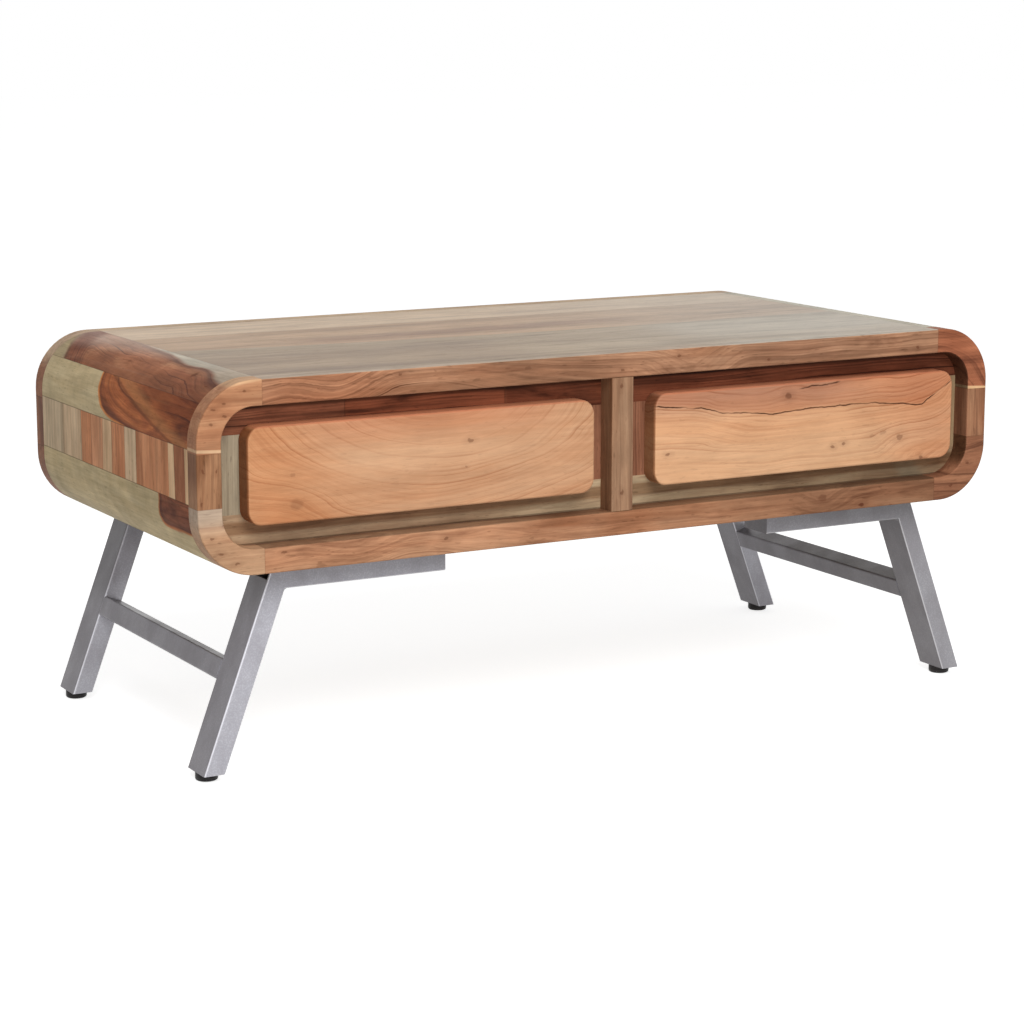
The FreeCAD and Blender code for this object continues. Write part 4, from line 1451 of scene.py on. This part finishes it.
@dataclass
class FaceFrame:
    """The frame that the drawers close against, and the boards inside the carcass."""

    finger_joints: tuple[float, ...] = (-0.356, -0.147)

    def rail_cuts(self) -> dict[str, WoodCut]:
        """Return the woods of the frame's two rails.

        Returns:
            The cuts under the pieces' names.
        """
        joints = tuple(end_line(x) for x in self.finger_joints)
        light = shaded(ACROSS, -0.2515, 0.209, (255, 236, 226), 0.9, 0.01)
        red = shaded(ACROSS, 0.2015, 0.697, (200, 182, 176), 0.9, 0.01)
        # Painted shadow under the ring's top rail.
        under = shaded(UPWARD, 0.4330, 0.0092, (146, 144, 138), 0.95, 0.4)
        pale = Zone((0.8, 0.0, 0.6), 0.5276, 0.028, (176, 166, 140), 0.7, 0.5)
        brown = shaded(ACROSS, -0.34, 0.36, (224, 212, 210), 1.0, 0.6)
        # Painted shade towards the right end of the rail.
        painted_shade_zone = shaded(ACROSS, 0.40, 0.50, (218, 210, 206), 1.0, 0.6)
        shadow = shaded(UPWARD, 0.2935, 0.015, (208, 190, 178), 0.9, 0.3)
        # Painted contact shadow where the rail meets the ring's bottom rail.
        painted_contact_shadow = Zone(UPWARD, 0.2748, 0.0020, (66, 44, 31), 0.60, 0.5)
        knot = Knot((-0.505, -SHELL_Y, 0.281), 0.012, 0.5)
        return {
            "top_rail": WoodCut(Grain.ALONG_X, Tone.CHOCOLATE, (0.3, -0.2, 0.30), (0.03, 0.4, 1.0), 0.0045,
                                0.85, 0.006, figure=0.8, streaks=0.6, zones=(light, red, under, *joints),
                                seed=23.0),
            "bottom_rail": WoodCut(Grain.ALONG_X, Tone.FRAME_OLIVE, (-0.2, -0.2, 0.40), (0.04, 0.4, 1.0),
                                   0.007, 0.45, 0.008, clouds=0.18, knots=(knot,),
                                   zones=(pale, brown, painted_shade_zone, shadow, painted_contact_shadow), seed=24.0),
        }

    def dress_frame(self) -> None:
        """Dress the frame's rails and stiles."""
        reach = (1.0, 0.4, 0.05)
        left = WoodCut(Grain.ALONG_Z, Tone.GREY_OLIVE, (-0.56, -0.2, 0.36), reach, 0.004, 0.5, 0.004,
                       seed=25.0)
        middle = WoodCut(Grain.ALONG_Z, Tone.COCOA, (-0.10, -0.2, 0.36), reach, 0.005, 0.6, 0.005, seed=26.0)
        right = WoodCut(Grain.ALONG_Z, Tone.OLIVE, (0.44, -0.2, 0.36), reach, 0.005, 0.5, 0.005, seed=27.0)
        stiles = {"left_stile": left, "middle_stile": middle, "right_stile": right}
        dress_cuts("face_frame_", "face_frame_", {**self.rail_cuts(), **stiles})

    def dress_inside(self) -> None:
        """Dress the partition, the back panel, the battens and the runners."""
        plain = WoodCut(Grain.ALONG_Y, Tone.BOX_PLAIN, (0.0, 0.0, 0.2), (1.0, 0.04, 1.0), 0.007, 0.4, 0.006,
                        seed=28.0)
        boards = ["centre_partition", "runner_battens", "drawer_runners"]
        dress(boards, WoodFinish("inner_board_wood", plain).make())
        panel = WoodCut(Grain.ALONG_X, Tone.OLIVE, (0.1, 0.2, 0.28), (0.06, 0.4, 1.0), 0.009, 0.5, 0.010,
                        seed=29.0)
        dress("back_panel", WoodFinish("back_panel_wood", panel).make())

    def dress_all(self) -> None:
        """Dress the frame and the inside."""
        self.dress_frame()
        self.dress_inside()


@dataclass(frozen=True)
class Turning:
    """A turned shape, given as radii and heights from its lowest face to its highest."""

    steps: Profile
    sides: int = 32

    def build(self, name: str) -> bpy.types.Object:
        """Turn the shape about the Z axis by extruding and scaling a disc.

        Args:
            name: Name of the piece.

        Returns:
            The closed piece, in object mode.
        """
        radius, height = self.steps[0]
        bpy.ops.object.select_all(action="DESELECT")
        bpy.ops.mesh.primitive_circle_add(vertices=self.sides, radius=radius, fill_type="NGON",
                                          location=(0.0, 0.0, height))
        piece = bpy.context.object
        piece.name = name
        bpy.ops.object.transform_apply(location=True)
        bpy.ops.object.mode_set(mode="EDIT")
        bpy.ops.mesh.select_all(action="SELECT")
        for wide, high in self.steps[1:]:
            bpy.ops.mesh.extrude_region_move(TRANSFORM_OT_translate={"value": (0.0, 0.0, high - height)})
            share = wide / radius
            bpy.ops.transform.resize(value=(share, share, 1.0), center_override=(0.0, 0.0, high))
            radius, height = wide, high
        bpy.ops.mesh.select_all(action="SELECT")
        bpy.ops.mesh.normals_make_consistent(inside=False)
        bpy.ops.object.mode_set(mode="OBJECT")
        return piece


def pick(pieces: list[bpy.types.Object]) -> None:
    """Select pieces alone and make the first one active.

    Args:
        pieces: The pieces.
    """
    bpy.ops.object.select_all(action="DESELECT")
    for piece in pieces:
        piece.select_set(True)
    bpy.context.view_layer.objects.active = pieces[0]


def smooth(piece: bpy.types.Object, degrees: float = 35.0) -> None:
    """Shade a piece smooth apart from the edges sharper than an angle."""
    pick([piece])
    bpy.ops.object.shade_smooth_by_angle(angle=math.radians(degrees))


def copied(model: bpy.types.Object, name: str, place: Point, turn: float = 0.0) -> bpy.types.Object:
    """Copy a model to a place, with its own mesh and its place in that mesh.

    Args:
        model: The piece to copy.
        name: Name of the copy.
        place: Where its origin goes.
        turn: Its turn about X in degrees.

    Returns:
        The copy, unturned and at the origin.
    """
    pick([model])
    bpy.ops.object.duplicate(linked=False)
    piece = bpy.context.object
    piece.name = name
    piece.location = place
    piece.rotation_euler = (math.radians(turn), 0.0, 0.0)
    bpy.ops.object.transform_apply(location=True, rotation=True, scale=True)
    return piece


def joined(pieces: list[bpy.types.Object], name: str) -> bpy.types.Object:
    """Join pieces into one object.

    Args:
        pieces: The pieces.
        name: Name of the whole.

    Returns:
        The whole.
    """
    pick(pieces)
    bpy.ops.object.join()
    pieces[0].name = name
    return pieces[0]


@dataclass(frozen=True)
class PanScrew:
    """A pan-head wood screw with a cross recess; its head's seat is at the origin and the head is up."""

    shank_radius: float
    shank_length: float
    head_radius: float
    head_height: float
    tip_share: float = 0.3
    taper_share: float = 2.0
    head_profile: Profile = ((1.0, 0.0), (1.0, 0.4), (0.95, 0.65), (0.8, 0.87), (0.55, 1.0))
    slot_length: float = 1.0
    slot_width: float = 0.22
    slot_height: float = 1.1

    def build(self, name: str) -> bpy.types.Object:
        """Model the screw.

        Args:
            name: Name of the piece.

        Returns:
            The screw at the origin.
        """
        shank = self.shank_radius
        taper = self.taper_share * shank - self.shank_length
        steps = ((shank * self.tip_share, -self.shank_length), (shank, taper), (shank, 0.0))
        head = tuple((self.head_radius * wide, self.head_height * high) for wide, high in self.head_profile)
        screw = Turning(steps + head).build(name)
        for turn in (0.0, 90.0):
            self.cut_slot(screw, turn)
        smooth(screw)
        return screw

    def cut_slot(self, screw: bpy.types.Object, turn: float) -> None:
        """Cut one bar of the cross recess.

        Args:
            screw: The screw to cut.
            turn: The bar's direction in degrees.
        """
        bpy.ops.object.select_all(action="DESELECT")
        bpy.ops.mesh.primitive_cube_add(size=1.0, location=(0.0, 0.0, self.head_height))
        cutter = bpy.context.object
        cutter.scale = (self.head_radius * self.slot_length, self.head_radius * self.slot_width,
                        self.head_height * self.slot_height)
        cutter.rotation_euler = (0.0, 0.0, math.radians(turn))
        bpy.ops.object.transform_apply(location=True, rotation=True, scale=True)
        bpy.context.view_layer.objects.active = screw
        boolean = screw.modifiers.new("recess", "BOOLEAN")
        boolean.operation = "DIFFERENCE"
        boolean.object = cutter
        bpy.ops.object.modifier_apply(modifier=boolean.name)
        bpy.data.objects.remove(cutter)


@dataclass
class Drawer:
    """One drawer: a thick front on a plain grooved box, held by four screws."""

    side: str
    front: WoodCut
    screw: PanScrew = PanScrew(0.002, 0.027, 0.004, 0.0025)

    def dress_wood(self) -> None:
        """Dress the drawer's front and its box."""
        name = self.side + "_drawer"
        dress(name + "_front", WoodFinish(name + "_front_wood", self.front, roughness=0.48).make())
        pith = (0.0, 0.0, 0.25)
        long = WoodCut(Grain.ALONG_Y, Tone.BOX_PLAIN, pith, (0.3, 0.05, 1.0), 0.006, 0.4, seed=30.0)
        wide = WoodCut(Grain.ALONG_X, Tone.BOX_PLAIN, pith, (0.05, 0.3, 1.0), 0.006, 0.4, seed=31.0)
        dress(name + "_sides", WoodFinish(name + "_side_wood", long).make())
        boards = [name + "_box_front", name + "_back", name + "_bottom"]
        dress(boards, WoodFinish(name + "_box_wood", wide).make())

    def build_screws(self, steel: bpy.types.Material) -> None:
        """Model the four screws that hold the front, with their heads inside the box.

        Args:
            steel: The screws' finish.
        """
        node = self.side + "_drawer_front_screws"
        low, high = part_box(node)
        inset = self.screw.head_radius
        model = self.screw.build("drawer_screw_model")
        seat_y = high.y - self.screw.head_height
        columns = (low.x + inset, high.x - inset)
        places = [(x, seat_y, z) for x in columns for z in (low.z + inset, high.z - inset)]
        copies = [copied(model, "drawer_screw", place, -90.0) for place in places]
        screws = joined(copies, self.side + "_front_pan_screws")
        bpy.data.objects.remove(model)
        screws.data.materials.append(steel)
        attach(screws, self.side + "_drawer")
        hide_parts(node)
        LOG.info("%s: modelled", screws.name)


RED_EDGE = Zone(UPWARD, 0.4125, 0.005, (186, 116, 84), 0.75, 0.3)
# Painted shade on the left side faces of the drawer fronts.
LEFT_PAINTED_SHADE = PaintedSideShade((184, 168, 156), LEFTWARD)
LEFT_SLANT = (0.9, 0.0, 0.43)


def left_front_cut() -> WoodCut:
    """Return the left drawer front's wood, with wide arcs under its top edge.

    Returns:
        The cut of wood.
    """
    knots = (Knot((-0.429, DRAWER_Y, 0.320), 0.016, 0.3), Knot((-0.206, DRAWER_Y, 0.376), 0.005, 0.55),
             Knot((-0.433, DRAWER_Y, 0.354), 0.005, 0.3), Knot((-0.212, DRAWER_Y, 0.345), 0.003, 0.4))
    orange = shaded(LEFT_SLANT, -0.265, 0.12, (252, 232, 214))
    rosy = shaded(UPWARD, 0.416, 0.05, (246, 228, 224), stretch=(-0.40, -0.10))
    return WoodCut(Grain.ALONG_X, Tone.PEACH, (-0.245, DRAWER_Y, 0.438), (0.5, 0.3, 1.0), 0.0052, 0.5, 0.006,
                   figure=0.06, figure_scale=14.0, clouds=0.07, smoke=0.2, streaks=0.06, fibres=0.06,
                   pores=0.12, flecks=0.08, painted_side_shade=LEFT_PAINTED_SHADE, knots=knots,
                   zones=(orange, rosy, RED_EDGE), seed=32.0)


def right_front_cut() -> WoodCut:
    """Return the right drawer front's wood, with a dark crack under its top edge.

    Returns:
        The cut of wood.
    """
    dots = ((0.311, 0.327), (0.327, 0.330), (0.066, 0.337), (0.449, 0.302))
    knots = (Knot((0.242, DRAWER_Y, 0.396), 0.0085, 0.65), Knot((0.415, DRAWER_Y, 0.331), 0.010, 0.5),
             Knot((0.505, DRAWER_Y, 0.335), 0.028, 0.0),
             *specks(dots, 0.0042, 0.6, DRAWER_Y),
             *specks(((0.388, 0.339), (0.372, 0.336)), 0.006, 0.3, DRAWER_Y))
    crack = Crack(((0.045, 0.396), (0.115, 0.390), (0.141, 0.383), (0.219, 0.376), (0.278, 0.379),
                   (0.370, 0.378), (0.449, 0.371), (0.498, 0.400)), (240, 224, 220))
    split = Crack(((0.256, 0.4035), (0.277, 0.407), (0.290, 0.4065), (0.322, 0.4100)), half_width=0.0016)
    smooth_low = Zone(UPWARD, 0.312, 0.066, (204, 160, 122), 0.5, 0.5, stretch=(0.05, 0.40))
    brown = shaded(UPWARD, 0.410, 0.05, (216, 210, 218), stretch=(-0.10, 0.34))
    rosy = shaded(LEFT_SLANT, 0.592, 0.16, (238, 222, 216))
    return WoodCut(Grain.ALONG_X, Tone.PEACH_LIGHT, (0.25, DRAWER_Y, 0.50), (0.12, 0.3, 1.0), 0.0060, 0.65,
                   0.010, figure=0.12, figure_scale=20.0, clouds=0.07, smoke=0.2, streaks=0.12, fibres=0.06,
                   pores=0.12, flecks=0.10, painted_side_shade=LEFT_PAINTED_SHADE, knots=knots, cracks=(crack, split),
                   zones=(smooth_low, brown, rosy, RED_EDGE), seed=33.0)


@dataclass
class LegFrames:
    """The two welded steel leg frames with their fixings and levelling feet."""

    corners: tuple[str, ...] = ("front_left", "front_right", "back_left", "back_right")
    screw: PanScrew = PanScrew(0.0025, 0.042, 0.005, 0.003)
    arm_screw_shares: tuple[float, ...] = (0.25, 0.84)
    pad_height: float = 0.010
    pad_bottom: Profile = ((0.62, 0.0012), (0.68, 0.0), (0.86, 0.0), (0.96, 0.0009), (1.0, 0.0024))
    pad_collar: Profile = ((1.0, 0.52), (0.975, 0.55), (0.975, 0.60), (1.0, 0.63), (1.0, 0.86), (0.97, 0.95))
    pad_brim: float = 0.92
    brim_drop: float = 0.0001
    stem_radius: float = 0.004
    thread_pitch: float = 0.00125
    thread_turns: int = 11
    thread_profile: Profile = ((0.86, 0.2), (1.0, 0.6), (0.86, 1.0))
    foot_sides: int = 40

    def dress_tubes(self) -> None:
        """Dress the tubes and the welds."""
        # Painted shadow under the carcass, painted fall-off of light towards the front right, and painted
        # shadow on the top of the back left leg.
        shades = (Shade(UPWARD, 0.17, 0.25, (196, 195, 194)),
                  Shade((0.7, -0.7, 0.0), 0.20, 0.42, (228, 227, 224)),
                  Shade((-0.3, 0.3, 1.0), 0.328, 0.360, (205, 203, 203)))
        paint = PlainFinish("silver_leg_paint", (160, 159, 166), (190, 190, 197), 0.35, 0.36, 520.0,
                            (136, 132, 138), gloss=0.5, side_shade=(190, 186, 186),
                            painted_edge_highlight=(226, 226, 232), shades=shades).make()
        tubes = [place + part for place in self.corners for part in ("_leg", "_arm")]
        dress([*tubes, "left_stretcher", "right_stretcher", "leg_corner_welds"], paint)

    def build_screws(self, steel: bpy.types.Material) -> None:
        """Model the screws under the arms, with their heads down.

        Args:
            steel: The screws' finish.
        """
        model = self.screw.build("arm_screw_model")
        copies = []
        for place in self.corners:
            low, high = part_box(place + "_arm")
            sign = 1.0 if high.x > 0.0 else -1.0
            outer = max(abs(low.x), abs(high.x))
            for share in self.arm_screw_shares:
                x = sign * (outer - share * (high.x - low.x))
                copies.append(copied(model, "arm_screw", (x, (low.y + high.y) / 2, low.z), 180.0))
        screws = joined(copies, "arm_pan_screws")
        bpy.data.objects.remove(model)
        screws.data.materials.append(steel)
        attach(screws, "carcass")
        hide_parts("arm_screws")
        LOG.info("%s: modelled", screws.name)

    def foot_turning(self, radius: float) -> Turning:
        """Return the profile of a foot: a hollow-soled pad, a collar and a threaded stem.

        Args:
            radius: Outer radius of the pad.

        Returns:
            The foot's turning, with its sole at height 0.
        """
        high, stem, pitch = self.pad_height, self.stem_radius, self.thread_pitch
        steps = [(radius * share, z) for share, z in self.pad_bottom]
        steps += [(radius * share, high * rise) for share, rise in self.pad_collar]
        brim_z = high - self.brim_drop
        steps += [(radius * self.pad_brim, brim_z), (stem, brim_z)]
        for turn in range(self.thread_turns):
            z = high + turn * pitch
            steps += [(stem * share, z + rise * pitch) for share, rise in self.thread_profile]
        return Turning(tuple(steps), self.foot_sides)

    def build_feet(self, plastic: bpy.types.Material) -> None:
        """Model the four levelling feet on their own bodies.

        Args:
            plastic: The feet's finish.
        """
        low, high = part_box(self.corners[0] + "_foot")
        model = self.foot_turning((high.x - low.x) / 2).build("foot_model")
        smooth(model)
        for place in self.corners:
            node = place + "_foot"
            low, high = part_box(node)
            centre = ((low.x + high.x) / 2, (low.y + high.y) / 2, low.z)
            foot = copied(model, place + "_levelling_foot", centre)
            foot.data.materials.append(plastic)
            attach(foot, node)
            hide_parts(node)
            LOG.info("%s: modelled", foot.name)
        bpy.data.objects.remove(model)


@dataclass
class Studio:
    """Camera, floor, background and soft lamps."""

    camera_place: Point = (-1.68365, -3.02487, 0.88405)
    camera_yaw: float = 29.026
    camera_pitch: float = 10.724
    lens: float = 95.789
    sensor: float = 36.0
    farthest: float = 100.0
    key_place: Point = (-0.8, -2.8, 2.9)
    key_power: float = 112.0
    key_size: float = 2.2
    fill_place: Point = (-1.2, -3.2, 0.45)
    fill_power: float = 24.0
    fill_size: float = 0.8
    lamp_aim: Point = (0.0, 0.0, 0.3)
    sky: float = 0.27
    floor_grey: float = 0.75
    floor_size: float = 40.0
    floor_z: float = -0.0005

    def build_camera(self) -> None:
        """Add the camera at the photograph's viewing angle."""
        data = bpy.data.cameras.new("view")
        data.lens = self.lens
        data.sensor_width = self.sensor
        data.clip_end = self.farthest
        camera = bpy.data.objects.new("view", data)
        camera.location = self.camera_place
        camera.rotation_euler = (math.radians(90.0 - self.camera_pitch), 0.0, math.radians(-self.camera_yaw))
        bpy.context.scene.collection.objects.link(camera)
        bpy.context.scene.camera = camera

    def build_lamp(self, name: str, place: Point, power: float, size: float) -> None:
        """Add a square soft lamp that faces the table.

        Args:
            name: Name of the lamp.
            place: Where it hangs.
            power: Its power in watts.
            size: Length of its sides.
        """
        data = bpy.data.lights.new(name, "AREA")
        data.energy = power
        data.size = size
        lamp = bpy.data.objects.new(name, data)
        lamp.location = place
        lamp.rotation_euler = (Vector(self.lamp_aim) - Vector(place)).to_track_quat("-Z", "Y").to_euler()
        bpy.context.scene.collection.objects.link(lamp)

    def seen_share(self, tree: bpy.types.NodeTree) -> Socket:
        """Tell the rays that see a surface from those that only light it.

        Args:
            tree: The node tree to add to.

        Returns:
            1 for camera, glossy and transmission rays, and 0 for the rest.
        """
        path = tree.nodes.new("ShaderNodeLightPath")
        out = path.outputs["Is Camera Ray"]
        for name in ("Is Glossy Ray", "Is Transmission Ray"):
            node = tree.nodes.new("ShaderNodeMath")
            node.operation = "MAXIMUM"
            tree.links.new(out, node.inputs[0])
            tree.links.new(path.outputs[name], node.inputs[1])
            out = node.outputs[0]
        return out

    def build_sky(self) -> None:
        """Light the scene evenly and show a white background."""
        world = bpy.data.worlds.new("studio")
        bpy.context.scene.world = world
        world.use_nodes = True
        tree = world.node_tree
        tree.nodes.clear()
        strength = tree.nodes.new("ShaderNodeMapRange")
        tree.links.new(self.seen_share(tree), strength.inputs["Value"])
        strength.inputs["To Min"].default_value = self.sky
        strength.inputs["To Max"].default_value = 1.0
        background = tree.nodes.new("ShaderNodeBackground")
        tree.links.new(strength.outputs[0], background.inputs["Strength"])
        background.inputs["Color"].default_value = (1.0, 1.0, 1.0, 1.0)
        tree.links.new(background.outputs[0], tree.nodes.new("ShaderNodeOutputWorld").inputs["Surface"])

    def build_floor(self) -> None:
        """Add a pale floor that melts into the background and keeps the table's shadow."""
        bpy.ops.object.select_all(action="DESELECT")
        bpy.ops.mesh.primitive_plane_add(size=self.floor_size, location=(0.0, 0.0, self.floor_z))
        floor = bpy.context.object
        floor.name = "studio_floor"
        bpy.ops.object.transform_apply(location=True)
        desk = NodeDesk("floor_white")
        seen = self.seen_share(desk.tree)
        diffuse = desk.add("ShaderNodeBsdfDiffuse")
        diffuse.inputs["Color"].default_value = (self.floor_grey, self.floor_grey, self.floor_grey, 1.0)
        glow = desk.add("ShaderNodeEmission")
        desk.feed(glow.inputs["Strength"], desk.math("MULTIPLY", seen, 1.0 - self.floor_grey * self.sky))
        total = desk.fill(desk.add("ShaderNodeAddShader"), diffuse.outputs[0], glow.outputs[0])
        desk.feed(desk.add("ShaderNodeOutputMaterial").inputs["Surface"], total)
        floor.data.materials.append(desk.material)

    def build(self) -> None:
        """Build the whole studio."""
        self.build_camera()
        self.build_sky()
        self.build_floor()
        self.build_lamp("key_softbox", self.key_place, self.key_power, self.key_size)
        self.build_lamp("low_softbox", self.fill_place, self.fill_power, self.fill_size)
        bpy.context.scene.view_settings.view_transform = "Standard"


SCREW_STEEL = PlainFinish("zinc_screw_steel", (170, 168, 160), (205, 203, 196), metallic=1.0, roughness=0.32,
                          speckle_scale=1500.0)
FOOT_PLASTIC = PlainFinish("black_foot_plastic", (30, 29, 30), (52, 48, 46), metallic=0.0, roughness=0.45,
                           speckle_scale=1200.0)


def main() -> None:
    """Dress the table, model its small pieces and build the studio."""
    logging.basicConfig(level=logging.INFO, format="%(name)s %(message)s")
    steel = SCREW_STEEL.make()
    plastic = FOOT_PLASTIC.make()
    for part in (Shell(), Rings(), FaceFrame()):
        part.dress_all()
    for drawer in (Drawer("left", left_front_cut()), Drawer("right", right_front_cut())):
        drawer.dress_wood()
        drawer.build_screws(steel)
    legs = LegFrames()
    legs.dress_tubes()
    legs.build_screws(steel)
    dress("leg_end_inserts", plastic)
    legs.build_feet(plastic)
    Studio().build()


if __name__ == "__main__":
    main()
